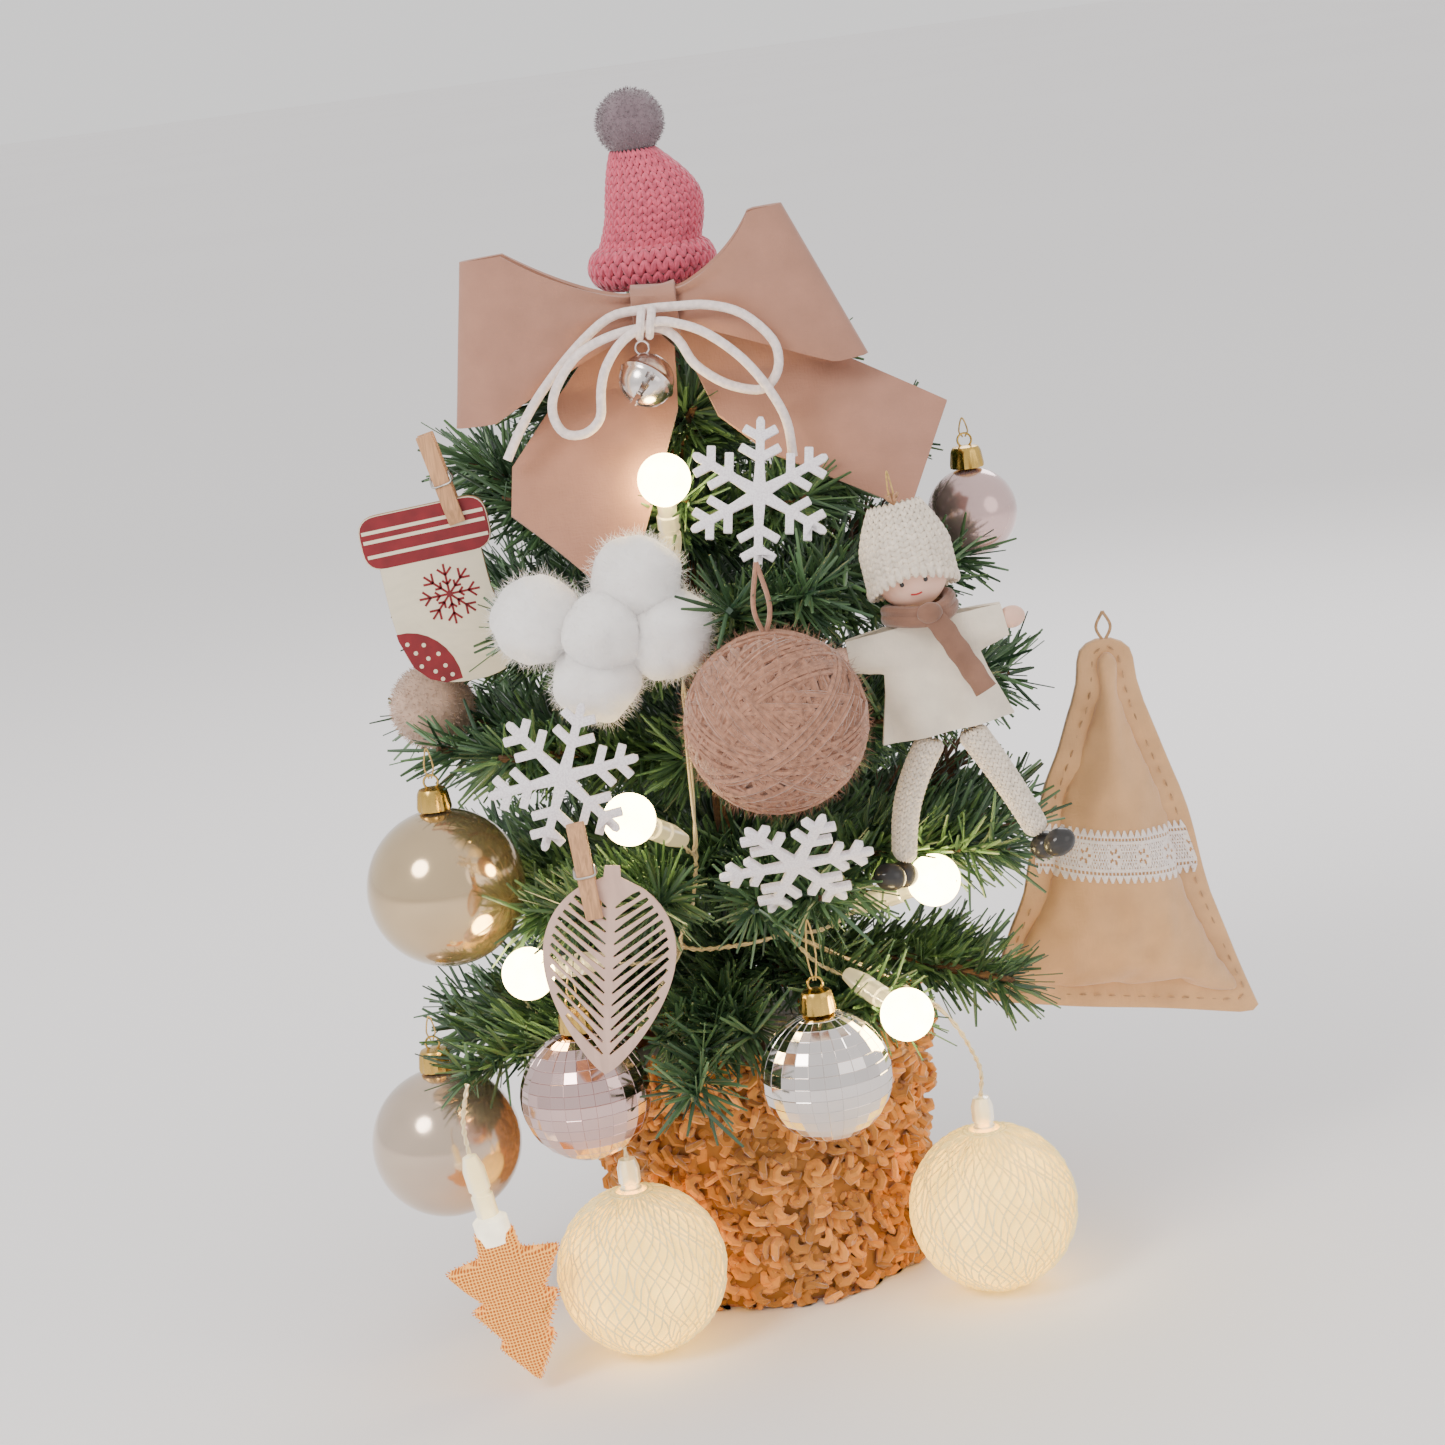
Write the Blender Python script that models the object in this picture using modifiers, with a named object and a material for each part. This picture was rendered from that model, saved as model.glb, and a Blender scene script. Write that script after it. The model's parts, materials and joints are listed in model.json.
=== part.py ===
"""Artificial tabletop tree: a potted wire tree with hanging decorations, +Z up, in metres.

The origin is on the table, at the middle of the pot. The front faces -Y.
"""
import math
import random

import bmesh
import bpy
from mathutils import Matrix, Vector

# Clearances
GAP = 0.0004
BRANCH_CLEARANCE = 0.0018

# Pot, weight and plush cover
POT_HEIGHT = 0.098
POT_BOTTOM_RADIUS = 0.053
POT_TOP_RADIUS = 0.062
POT_WALL = 0.003
COVER_THICKNESS = 0.0035
COVER_LIFT = 0.0006
WEIGHT_LEVEL = 0.080

# Trunk and branch tiers
TRUNK_RADIUS = 0.004
TRUNK_FOOT = 0.020
TRUNK_TOP = 0.404
HUB_RADIUS = 0.013
HUB_HEIGHT = 0.013
TUFT_ROOT_RADIUS = 0.0045
TUFT_TIP_RADIUS = 0.0034
SHORTEST_TUFT = 0.014
TIERS = (
    # hub height, tip height, reach, main branches, first azimuth in degrees
    (0.125, 0.108, 0.124, 8, -56.0),
    (0.162, 0.170, 0.123, 8, -75.0),
    (0.204, 0.222, 0.116, 7, -100.0),
    (0.247, 0.270, 0.103, 7, -62.0),
    (0.288, 0.315, 0.086, 6, -95.0),
    (0.326, 0.352, 0.058, 5, -70.0),
)

# Knitted hat
HAT_Z = 0.388
BRIM_RING_RADIUS = 0.0155
BRIM_ROLL_RADIUS = 0.0085
CROWN_HEIGHT = 0.030
CROWN_RADIUS = 0.0185
CROWN_WALL = 0.0022
CROWN_SLOUCH = 0.004
POMPOM_RADIUS = 0.0122

# Felt bow
KNOT = Vector((0.0, -0.038, 0.374))
KNOT_WIDTH = 0.016
KNOT_HEIGHT = 0.024
KNOT_DEPTH = 0.021
FELT = 0.0022
RIBBON_WIDTH = 0.058
LOOP_LENGTH = 0.065
RIGHT_LOOP_SHORTER = 0.010
LOOP_BULGE = 0.010
TAIL_BACK = 0.0058
TAIL_BEND = 0.026
TAIL_SLOPE = 0.55

# Bell and the round cord tied over the bow
BELL_RADIUS = 0.0105
BELL_WALL = 0.001
BELL_CENTRE = Vector((-0.006, -0.052, 0.3505))
CORD_DIAMETER = 0.0034
CORD_ROUTE = (
    # left end, up to the knot
    (-0.0586, -0.056, 0.3292), (-0.0518, -0.055, 0.3404), (-0.0430, -0.054, 0.3518),
    (-0.0297, -0.053, 0.3649), (-0.0165, -0.052, 0.3742), (-0.0046, -0.052, 0.3757),
    # right loop
    (0.0080, -0.053, 0.3755), (0.0192, -0.054, 0.3746), (0.0308, -0.055, 0.3701),
    (0.0402, -0.056, 0.3599), (0.0413, -0.057, 0.3510), (0.0376, -0.057, 0.3447),
    (0.0323, -0.057, 0.3430), (0.0217, -0.057, 0.3467), (0.0120, -0.057, 0.3547),
    (0.0072, -0.057, 0.3640), (0.0010, -0.057, 0.3690),
    # left loop
    (-0.0085, -0.058, 0.3696), (-0.0199, -0.059, 0.3674), (-0.0300, -0.060, 0.3623),
    (-0.0379, -0.061, 0.3523), (-0.0400, -0.061, 0.3439), (-0.0368, -0.061, 0.3367),
    (-0.0296, -0.061, 0.3357), (-0.0236, -0.061, 0.3405), (-0.0220, -0.061, 0.3501),
    (-0.0190, -0.061, 0.3583), (-0.0120, -0.061, 0.3665), (-0.0010, -0.061, 0.3715),
    # right end
    (0.0080, -0.061, 0.3700), (0.0180, -0.061, 0.3650), (0.0290, -0.061, 0.3548),
    (0.0370, -0.062, 0.3428), (0.0416, -0.063, 0.3313), (0.0423, -0.064, 0.3187),
)

# Snowflakes: centre, roll about the view line, lean of the top towards the viewer (degrees)
SNOWFLAKE_RADIUS = 0.027
SNOWFLAKE_THICKNESS = 0.0022
SNOWFLAKES = (
    (Vector((0.0290, -0.084, 0.3100)), 22.0, -18.0),
    (Vector((-0.0505, -0.110, 0.2240)), 8.0, 0.0),
    (Vector((0.0260, -0.122, 0.1860)), 5.0, 38.0),
)

# Cotton boll: puffs round a centre
COTTON_CENTRE = Vector((-0.031, -0.092, 0.268))
COTTON_PUFFS = (
    (-0.023, 0.004, 0.008, 0.0165), (0.014, 0.004, 0.018, 0.0165), (0.022, 0.002, -0.002, 0.0170),
    (-0.004, 0.000, -0.014, 0.0165), (0.000, -0.005, 0.002, 0.0150),
)

# Yarn ball
YARN_RADIUS = 0.0325
YARN_CENTRE = Vector((0.025, -0.105, 0.233))
YARN_LOOP = 0.022

# Rag doll, in a frame whose origin is the middle of its collar
DOLL_COLLAR = Vector((0.0797, -0.080, 0.2617))
DOLL_HEAD_RADIUS = 0.013
DOLL_HAT_WALL = 0.0022
DOLL_HAT_HEIGHT = 0.0245
DOLL_SCARF_RING = 0.0112
DOLL_SCARF_ROLL = 0.0036
DOLL_COAT_DEPTH = 0.009
DOLL_COAT_LENGTH = 0.040
DOLL_ARM_SPAN = 0.028
DOLL_LEG_RADIUS = 0.0055
DOLL_LEG_LENGTH = 0.036
DOLL_HIP_SPREAD = 0.0085
DOLL_LEFT_SPLAY = math.radians(26.0)
DOLL_RIGHT_SPLAY = math.radians(20.0)
DOLL_LEAN = math.radians(-7.0)
DOLL_SHOE = Vector((0.0075, 0.0095, 0.0052))
DOLL_HANG = 0.030

# Stuffed cushion in the shape of a fir
CUSHION_BASE = Vector((0.1435, 0.010, 0.080))
CUSHION_HEIGHT = 0.146
CUSHION_WIDTH = 0.108
CUSHION_DEPTH = 0.026
CUSHION_TURN = math.radians(6.0)
CUSHION_ROLL = math.radians(3.0)
CUSHION_SKEW = 0.14
CUSHION_LOOP = 0.010

# Printed board stocking and slotted wooden leaf
STOCKING_CENTRE = Vector((-0.0905, -0.043, 0.2825))
STOCKING_ROLL = math.radians(-5.0)
STOCKING_THICKNESS = 0.003
STOCKING_WIDTH = 0.048
STOCKING_HEIGHT = 0.066
LEAF_TOP = Vector((-0.0375, -0.1240, 0.1900))
LEAF_LENGTH = 0.068
LEAF_WIDTH = 0.046
LEAF_THICKNESS = 0.0024
LEAF_ROLL = math.radians(9.0)
LEAF_TILT = math.radians(11.0)

# Small clothes pins
PIN_LENGTH = 0.034
PIN_WIDTH = 0.006
PIN_LEG = 0.0022
PIN_GRIP = 0.009

# Hanging balls: name, centre, radius, thread length above the cap
CAP_RADIUS = 0.0062
CAP_HEIGHT = 0.0085
NECK_RADIUS = 0.0042
BALL_WALL = 0.0012
BALLS = (
    ("champagne_ball", Vector((-0.102, -0.060, 0.178)), 0.0290, 0.012),
    ("pearl_ball", Vector((-0.117, -0.048, 0.078)), 0.0280, 0.010),
    ("mirror_ball_left", Vector((-0.059, -0.099, 0.106)), 0.0235, 0.010),
    ("mirror_ball_front", Vector((0.027, -0.105, 0.104)), 0.0235, 0.023),
    ("pink_ball", Vector((0.107, 0.010, 0.280)), 0.0170, 0.008),
)
FELT_BALL_CENTRE = Vector((-0.102, -0.018, 0.237))
FELT_BALL_RADIUS = 0.0155
FELT_BALL_THREAD = 0.012

# Lights
COTTON_LIGHT_RADIUS = 0.0314
COTTON_LIGHT_WALL = 0.0012
COTTON_LIGHT_HOLE = 0.0065
COTTON_LIGHTS = (Vector((-0.049, -0.081, 0.0)), Vector((0.082, -0.060, 0.0)))
BULB_RADIUS = 0.0095
SOCKET_RADIUS = 0.0042
SOCKET_LENGTH = 0.024
WIRE_RADIUS = 0.0011
# globe centres, each with the point where its lead leaves the main run
BULBS = (
    (Vector((-0.004, -0.062, 0.316)), Vector((-0.006, -0.046, 0.262))),
    (Vector((-0.031, -0.088, 0.201)), Vector((-0.010, -0.060, 0.182))),
    (Vector((-0.074, -0.090, 0.150)), Vector((-0.020, -0.052, 0.143))),
    (Vector((0.074, -0.071, 0.161)), Vector((0.018, -0.050, 0.143))),
    (Vector((0.058, -0.100, 0.121)), Vector((0.018, -0.050, 0.143))),
)
LIGHT_RUN = (
    (0.026, 0.020, 0.146), (0.030, 0.000, 0.146), (0.026, -0.026, 0.146), (0.018, -0.050, 0.143),
    (0.000, -0.058, 0.142), (-0.020, -0.052, 0.143), (-0.014, -0.058, 0.160),
    (-0.010, -0.060, 0.182), (-0.008, -0.052, 0.225), (-0.006, -0.046, 0.262),
)
TREE_LIGHT_TOP = Vector((-0.098, -0.107, 0.062))
TREE_LIGHT_HEIGHT = 0.057
TREE_LIGHT_WIDTH = 0.042
TREE_LIGHT_DEPTH = 0.012
TREE_LIGHT_STEM = 0.030
TREE_LIGHT_LEAD = 0.024
TREE_LIGHT_ROLL = math.radians(-9.0)

# Battery box on the weight, behind the trunk
CASE_SIZE = Vector((0.036, 0.032, 0.013))
CASE_CENTRE_Y = 0.0255
CASE_WALL = 0.0016
CELL_RADIUS = 0.010
CELL_HEIGHT = 0.0066
SWITCH_SIZE = Vector((0.0024, 0.006, 0.004))

# How far hanging pieces swing out
BALL_SWING = math.radians(14.0)
DOLL_SWING = math.radians(10.0)
CUSHION_SWING = math.radians(10.0)
TREE_LIGHT_SWING = math.radians(10.0)

UPRIGHT = Matrix.Rotation(math.pi / 2, 4, "X")
HIDDEN_STEPS = 12
random_source = random.Random(11)
keep_outs = []


def clear_scene():
    for obj in list(bpy.data.objects):
        bpy.data.objects.remove(obj, do_unlink=True)


def new_collection(name):
    collection = bpy.data.collections.new(name)
    bpy.context.scene.collection.children.link(collection)
    return collection


clear_scene()
PARTS = new_collection("tabletop_tree")
CUTTERS = new_collection("cutters")
CUTTERS.hide_render = True


def finish(name, colour, roughness, metallic=0.0):
    found = bpy.data.materials.get(name)
    if found:
        return found
    made = bpy.data.materials.new(name)
    made.use_nodes = True
    shader = made.node_tree.nodes["Principled BSDF"]
    shader.inputs["Base Color"].default_value = (*colour, 1.0)
    shader.inputs["Roughness"].default_value = roughness
    shader.inputs["Metallic"].default_value = metallic
    made.diffuse_color = (*colour, 1.0)
    return made


def needle_green():
    return finish("needle_green", (0.06, 0.13, 0.10), 0.7)


def warm_wood():
    return finish("warm_wood", (0.36, 0.18, 0.10), 0.6)


def add(name, data, material, matrix=None, parent=None):
    """A named part. Its matrix is in the parent's frame."""
    obj = bpy.data.objects.new(name, data)
    PARTS.objects.link(obj)
    data.materials.append(material)
    if parent:
        obj.parent = parent
    if matrix:
        obj.matrix_local = matrix
    if obj.type == "MESH":
        data.shade_smooth()
        data.set_sharp_from_angle(angle=math.radians(35.0))
    return obj


def add_cutter(name, data, matrix=None, parent=None):
    obj = bpy.data.objects.new(name, data)
    CUTTERS.objects.link(obj)
    obj.display_type = "WIRE"
    obj.hide_render = True
    if parent:
        obj.parent = parent
    if matrix:
        obj.matrix_local = matrix
    return obj


def pivot(name, place, turn=None):
    """An empty on a joint's axis, which carries the pieces that move."""
    empty = bpy.data.objects.new(name, None)
    PARTS.objects.link(empty)
    empty.matrix_world = Matrix.Translation(place) @ (turn or Matrix.Identity(4))
    bpy.context.view_layer.update()
    return empty


def boolean(obj, other, operation):
    modifier = obj.modifiers.new(operation.lower(), "BOOLEAN")
    modifier.operation = operation
    modifier.solver = "EXACT"
    if isinstance(other, bpy.types.Collection):
        modifier.operand_type = "COLLECTION"
        modifier.collection = other
    else:
        modifier.object = other
    return modifier


def mesh_of(make, *arguments, **options):
    """A mesh from one bmesh.ops creator."""
    bm = bmesh.new()
    make(bm, *arguments, **options)
    mesh = bpy.data.meshes.new("shape")
    bm.to_mesh(mesh)
    bm.free()
    return mesh


def sphere_mesh(radius, columns=16, rows=10, scale=(1.0, 1.0, 1.0)):
    matrix = Matrix.Diagonal((*scale, 1.0))
    return mesh_of(
        bmesh.ops.create_uvsphere, u_segments=columns, v_segments=rows, radius=radius, matrix=matrix
    )


def box_mesh(size, centre=(0.0, 0.0, 0.0)):
    matrix = Matrix.Translation(centre) @ Matrix.Diagonal((*size, 1.0))
    return mesh_of(bmesh.ops.create_cube, size=1.0, matrix=matrix)


def cylinder_mesh(radius, low, high, sides=16, top_radius=None):
    return mesh_of(
        bmesh.ops.create_cone,
        cap_ends=True,
        segments=sides,
        radius1=radius,
        radius2=radius if top_radius is None else top_radius,
        depth=high - low,
        matrix=Matrix.Translation((0.0, 0.0, (low + high) / 2)),
    )


def capsule_mesh(radius, length, columns=10, rows=8):
    """A round-ended rod that hangs from the middle of its upper end."""
    mesh = sphere_mesh(radius, columns, rows)
    for vertex in mesh.vertices:
        if vertex.co.z < -radius * 0.01:
            vertex.co.z -= length
    return mesh


def turned(name, profile, material, closed=False, steps=24, matrix=None, parent=None):
    """A profile of (radius, height) turned about the local Z axis."""
    count = len(profile)
    edges = [(i, i + 1) for i in range(count - 1)]
    if closed:
        edges.append((count - 1, 0))
    mesh = bpy.data.meshes.new(name)
    mesh.from_pydata([(r, 0.0, z) for r, z in profile], edges, [])
    obj = add(name, mesh, material, matrix, parent)
    screw = obj.modifiers.new("turn", "SCREW")
    screw.steps = steps
    screw.render_steps = steps
    screw.use_merge_vertices = True
    screw.merge_threshold = 0.00001
    screw.use_smooth_shade = True
    return obj


def arc(radius, start, end, count, centre=(0.0, 0.0)):
    """Points of (radius, height) on a circle, with angles in degrees up from the horizontal."""
    angles = [math.radians(start + (end - start) * i / (count - 1)) for i in range(count)]
    return [(centre[0] + radius * math.cos(a), centre[1] + radius * math.sin(a)) for a in angles]


def evaluated_mesh(obj):
    """The object's evaluated shape as a mesh with its caps joined."""
    bpy.context.view_layer.update()
    graph = bpy.context.evaluated_depsgraph_get()
    mesh = bpy.data.meshes.new_from_object(obj.evaluated_get(graph))
    bm = bmesh.new()
    bm.from_mesh(mesh)
    bmesh.ops.remove_doubles(bm, verts=bm.verts, dist=0.000001)
    bmesh.ops.recalc_face_normals(bm, faces=bm.faces)
    bm.to_mesh(mesh)
    bm.free()
    mesh.materials.clear()
    return mesh


def tube_curve(points, radius, radii=None, resolution=2):
    curve = bpy.data.curves.new("tube", "CURVE")
    curve.dimensions = "3D"
    curve.bevel_depth = radius
    curve.bevel_resolution = resolution
    curve.use_fill_caps = True
    spline = curve.splines.new("POLY")
    spline.points.add(len(points) - 1)
    for i, point in enumerate(points):
        spline.points[i].co = (*point, 1.0)
        if radii:
            spline.points[i].radius = radii[i] / radius
    return curve


def flat_curve(outlines, thickness):
    curve = bpy.data.curves.new("outline", "CURVE")
    curve.dimensions = "2D"
    curve.fill_mode = "BOTH"
    curve.extrude = thickness / 2
    for outline in outlines:
        spline = curve.splines.new("POLY")
        spline.points.add(len(outline) - 1)
        for i, (x, y) in enumerate(outline):
            spline.points[i].co = (x, y, 0.0, 1.0)
        spline.use_cyclic_u = True
    return curve


def mesh_from_curve(curve):
    helper = add_cutter("curve_helper", curve)
    mesh = evaluated_mesh(helper)
    bpy.data.objects.remove(helper, do_unlink=True)
    return mesh


def smooth_route(route, spacing):
    """Points along a Catmull-Rom curve through the route, about one spacing apart."""
    points = [Vector(p) for p in route]
    padded = [points[0] * 2 - points[1], *points, points[-1] * 2 - points[-2]]
    fine = []
    for a, b, c, d in zip(padded, padded[1:], padded[2:], padded[3:]):
        for step in range(HIDDEN_STEPS):
            t = step / HIDDEN_STEPS
            fine.append(
                0.5 * (2 * b + (c - a) * t + (2 * a - 5 * b + 4 * c - d) * t**2
                       + (3 * b - a - 3 * c + d) * t**3)
            )
    fine.append(points[-1])
    kept = [fine[0]]
    walked = 0.0
    for before, after in zip(fine, fine[1:]):
        walked += (after - before).length
        if walked >= spacing:
            kept.append(after)
            walked = 0.0
    if (kept[-1] - fine[-1]).length < spacing / 2:
        kept.pop()
    kept.append(fine[-1])
    return kept


def outward(place):
    return Vector((place.x, place.y, 0.0)).normalized()


def swing_axis(place):
    """The level axis about which a positive turn moves a hanging piece away from the trunk."""
    out = outward(place)
    return Vector((out.y, -out.x, 0.0))


def reserve(a, b, radius):
    """Keeps the branches out of a round-ended rod of space."""
    keep_outs.append((Vector(a), Vector(b), radius))


def reserve_swing(place, axis, most, a, b, radius):
    """Reserves a rod's space at rest and as it swings about the pivot."""
    for share in (0.0, 0.5, 1.0):
        turn = Matrix.Rotation(most * share, 3, axis)
        reserve(place + turn @ (Vector(a) - place), place + turn @ (Vector(b) - place), radius)


# ---------------------------------------------------------------- pot and trunk

def pot_radius(height):
    return POT_BOTTOM_RADIUS + (POT_TOP_RADIUS - POT_BOTTOM_RADIUS) * height / POT_HEIGHT


def make_pot():
    clay = finish("pot_clay", (0.55, 0.34, 0.22), 0.7)
    inner_foot = pot_radius(POT_WALL) - POT_WALL
    inner_rim = POT_TOP_RADIUS - POT_WALL
    turned("pot", [
        (0.0, POT_WALL), (inner_foot, POT_WALL), (inner_rim, POT_HEIGHT),
        (POT_TOP_RADIUS, POT_HEIGHT), (POT_BOTTOM_RADIUS, 0.0), (0.0, 0.0),
    ], clay, steps=32)


def make_weight():
    plaster = finish("plaster", (0.75, 0.73, 0.70), 0.9)
    low = POT_WALL + GAP
    side = POT_WALL + GAP * 1.5
    bore = TRUNK_RADIUS + GAP
    turned("pot_weight", [
        (0.0, TRUNK_FOOT - GAP), (bore, TRUNK_FOOT - GAP), (bore, WEIGHT_LEVEL),
        (pot_radius(WEIGHT_LEVEL) - side, WEIGHT_LEVEL), (pot_radius(low) - side, low), (0.0, low),
    ], plaster, steps=32)


def make_cover():
    plush = finish("caramel_plush", (0.62, 0.36, 0.14), 0.95)
    top = POT_HEIGHT + 0.001
    low = COVER_LIFT
    inner = GAP * 1.5
    turned("pot_cover", [
        (pot_radius(low) + inner, low), (pot_radius(top) + inner, top),
        (pot_radius(top) + inner + COVER_THICKNESS, top),
        (pot_radius(low) + inner + COVER_THICKNESS, low),
    ], plush, closed=True, steps=32)


def make_trunk():
    wood = finish("trunk_brown", (0.20, 0.12, 0.07), 0.8)
    add("trunk", cylinder_mesh(TRUNK_RADIUS, TRUNK_FOOT, TRUNK_TOP, 12), wood)


# ---------------------------------------------------------------- branches

def distance_to_rod(point, a, b):
    along = b - a
    length = along.length_squared
    share = 0.0 if length == 0.0 else max(0.0, min(1.0, (point - a).dot(along) / length))
    return (point - (a + along * share)).length


def clear_share(a, b, tuft_radius):
    """How much of the way from a to b is free of every reserved space."""
    steps = 48
    for step in range(steps + 1):
        point = a.lerp(b, step / steps)
        for low, high, radius in keep_outs:
            if distance_to_rod(point, low, high) < radius + tuft_radius + BRANCH_CLEARANCE:
                return max(0.0, (step - 1) / steps)
    return 1.0


def tuft(points, collection):
    """A tapered branch through its points, cut short where it would meet a decoration."""
    kept = [points[0]]
    for a, b in zip(points, points[1:]):
        share = clear_share(a, b, TUFT_ROOT_RADIUS)
        if share < 1.0:
            kept.append(a.lerp(b, share))
            break
        kept.append(b)
    length = sum((b - a).length for a, b in zip(kept, kept[1:]))
    if length < SHORTEST_TUFT:
        return kept[0]
    if (kept[-1] - kept[-2]).length < TUFT_TIP_RADIUS:
        kept.pop()
    radii = [
        TUFT_ROOT_RADIUS + (TUFT_TIP_RADIUS - TUFT_ROOT_RADIUS) * i / (len(kept) - 1)
        for i in range(len(kept))
    ]
    mesh = mesh_from_curve(tube_curve(kept, TUFT_ROOT_RADIUS, radii, resolution=0))
    obj = add_cutter("tuft", mesh)
    CUTTERS.objects.unlink(obj)
    collection.objects.link(obj)
    return kept[-1]


def polar(radius, azimuth, height):
    return Vector((radius * math.cos(azimuth), radius * math.sin(azimuth), height))


def make_tier(number, hub_z, tip_z, reach, mains, first_azimuth):
    """A hub on the trunk with forked branches all round it."""
    tufts = bpy.data.collections.new(f"tufts_{number}")
    CUTTERS.children.link(tufts)
    pitch = 2 * math.pi / mains
    root_radius = HUB_RADIUS * 0.7
    for i in range(mains):
        azimuth = math.radians(first_azimuth) + pitch * i + random_source.uniform(-0.08, 0.08)
        out = reach * random_source.uniform(0.95, 1.03)
        tip_height = tip_z + random_source.uniform(-0.006, 0.006)
        fork_height = hub_z + (tip_height - hub_z) * 0.35
        root = polar(root_radius, azimuth, hub_z)
        fork = polar(out * 0.48, azimuth, fork_height)
        tip = polar(out, azimuth, tip_height)
        end = tuft([root, fork, tip], tufts)
        reached_fork = Vector((end.x, end.y, 0.0)).length >= out * 0.48
        for side in (-1, 1) if reached_fork else ():
            lift = random_source.uniform(-0.006, 0.010)
            side_tip = polar(out * 0.93, azimuth + side * pitch / 3, tip_height + lift)
            start = fork.lerp(root, 0.12)
            tuft([start, side_tip], tufts)
    hub_low = hub_z - HUB_HEIGHT / 2
    hub = add(f"branches_{number}", cylinder_mesh(HUB_RADIUS, hub_low, hub_low + HUB_HEIGHT, 16), needle_green())
    boolean(hub, tufts, "UNION")
    bore = add_cutter(
        f"trunk_bore_{number}",
        cylinder_mesh(TRUNK_RADIUS + GAP, hub_low - HUB_HEIGHT, hub_low + HUB_HEIGHT * 2, 12),
    )
    boolean(hub, bore, "DIFFERENCE")


# ---------------------------------------------------------------- hat

def make_hat():
    pink = finish("pink_knit", (0.80, 0.27, 0.36), 0.9)
    grey = finish("mauve_felt", (0.42, 0.36, 0.40), 0.95)
    carrier = pivot("hat_slide", Vector((0.0, 0.0, HAT_Z)))
    ring = arc(BRIM_ROLL_RADIUS, 90.0, -225.0, 8, (BRIM_RING_RADIUS, 0.0))
    turned("hat_brim", ring, pink, closed=True, steps=18, parent=carrier)
    base = BRIM_ROLL_RADIUS + GAP
    shoulder = CROWN_HEIGHT * 0.38
    outer = [
        (0.0, base + CROWN_HEIGHT), (CROWN_RADIUS * 0.42, base + CROWN_HEIGHT * 0.97),
        (CROWN_RADIUS * 0.72, base + CROWN_HEIGHT * 0.74), (CROWN_RADIUS * 0.96, base + shoulder),
        (CROWN_RADIUS, base),
    ]
    inner = [(max(0.0, r - CROWN_WALL), base + (z - base) * 0.92) for r, z in outer]
    helper = turned("crown_helper", [*outer, *reversed(inner)], pink, steps=20)
    mesh = evaluated_mesh(helper)
    bpy.data.objects.remove(helper, do_unlink=True)
    for vertex in mesh.vertices:
        climb = (vertex.co.z - base) / CROWN_HEIGHT
        vertex.co.x += CROWN_SLOUCH * math.sin(math.pi * climb)
        vertex.co.x -= CROWN_SLOUCH * 0.4 * climb
    add("hat_crown", mesh, pink, parent=carrier)
    top = base + CROWN_HEIGHT + GAP + POMPOM_RADIUS
    place = Matrix.Translation((-CROWN_SLOUCH * 0.4, 0.0, top))
    add("pompom", sphere_mesh(POMPOM_RADIUS), grey, place, carrier)


# ---------------------------------------------------------------- bow

def teardrop(start, length, bulge, count=22):
    """A loop seen from above, pointed at its start."""
    points = []
    for i in range(count):
        turn = 2 * math.pi * (i + 0.5) / count
        points.append((
            start + length * (1 - math.cos(turn)) / 2,
            bulge * math.sin(turn) * math.sin(turn / 2),
        ))
    return points


def loop_mesh(side, slant, lift, length):
    """One loop of ribbon, gathered at the knot and full width at its fold."""
    start = KNOT_WIDTH * 0.35
    outer = teardrop(start, length, LOOP_BULGE)
    inner = teardrop(start + FELT * 3, length - FELT * 4, LOOP_BULGE - FELT)
    mesh = mesh_from_curve(flat_curve([outer, inner], RIBBON_WIDTH))
    gathered = KNOT_HEIGHT * 0.30 / (RIBBON_WIDTH / 2)
    for vertex in mesh.vertices:
        x, y, z = vertex.co
        share = min(1.0, max(0.0, (x - KNOT_WIDTH * 0.6) / (length * 0.72)))
        opened = gathered + (1 - gathered) * share**1.3
        z *= opened
        x -= slant * z * share
        vertex.co = (side * x, y, z + lift * x)
    if side < 0:
        mesh.flip_normals()
    return mesh


def tail_depth(drop):
    """How far the tails stand back from the knot's middle: straight down at first, then out over the foliage."""
    return TAIL_BACK - TAIL_SLOPE * max(0.0, drop - TAIL_BEND)


def make_tails(felt):
    """Both tails are one strip of felt that passes behind the loops."""
    outline = [
        (-0.009, 0.007), (-0.058, -0.049), (-0.060, -0.065), (-0.0315, -0.0915), (-0.0155, -0.0815),
        (0.0035, -0.036), (0.005, -0.0145), (-0.009, -0.0140), (-0.009, -0.007), (0.009, -0.007),
        (0.009, -0.018), (0.0176, -0.040), (0.0337, -0.0545), (0.0812, -0.0792), (0.0995, -0.045),
        (0.009, 0.007),
    ]
    mesh = mesh_from_curve(flat_curve([outline], FELT))
    bm = bmesh.new()
    bm.from_mesh(mesh)
    for row in range(1, 9):
        level = Vector((0.0, -0.012 * row, 0.0))
        everything = [*bm.verts, *bm.edges, *bm.faces]
        bmesh.ops.bisect_plane(bm, geom=everything, plane_co=level, plane_no=(0.0, 1.0, 0.0))
    for vertex in bm.verts:
        x, y, z = vertex.co
        vertex.co = (x, tail_depth(-y) - z, y)
    bm.to_mesh(mesh)
    bm.free()
    add("bow_tails", mesh, felt, Matrix.Translation(KNOT))
    ends = (
        ((-0.009, 0.0), (-0.032, -0.030)), ((-0.032, -0.030), (-0.052, -0.060)),
        ((-0.004, -0.032), (-0.026, -0.084)), ((0.009, 0.0), (0.045, -0.024)),
        ((0.045, -0.024), (0.088, -0.056)), ((0.024, -0.036), (0.066, -0.066)),
    )
    for a, b in ends:
        reserve(*(KNOT + Vector((x, tail_depth(-z), z)) for x, z in (a, b)), 0.006)


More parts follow.
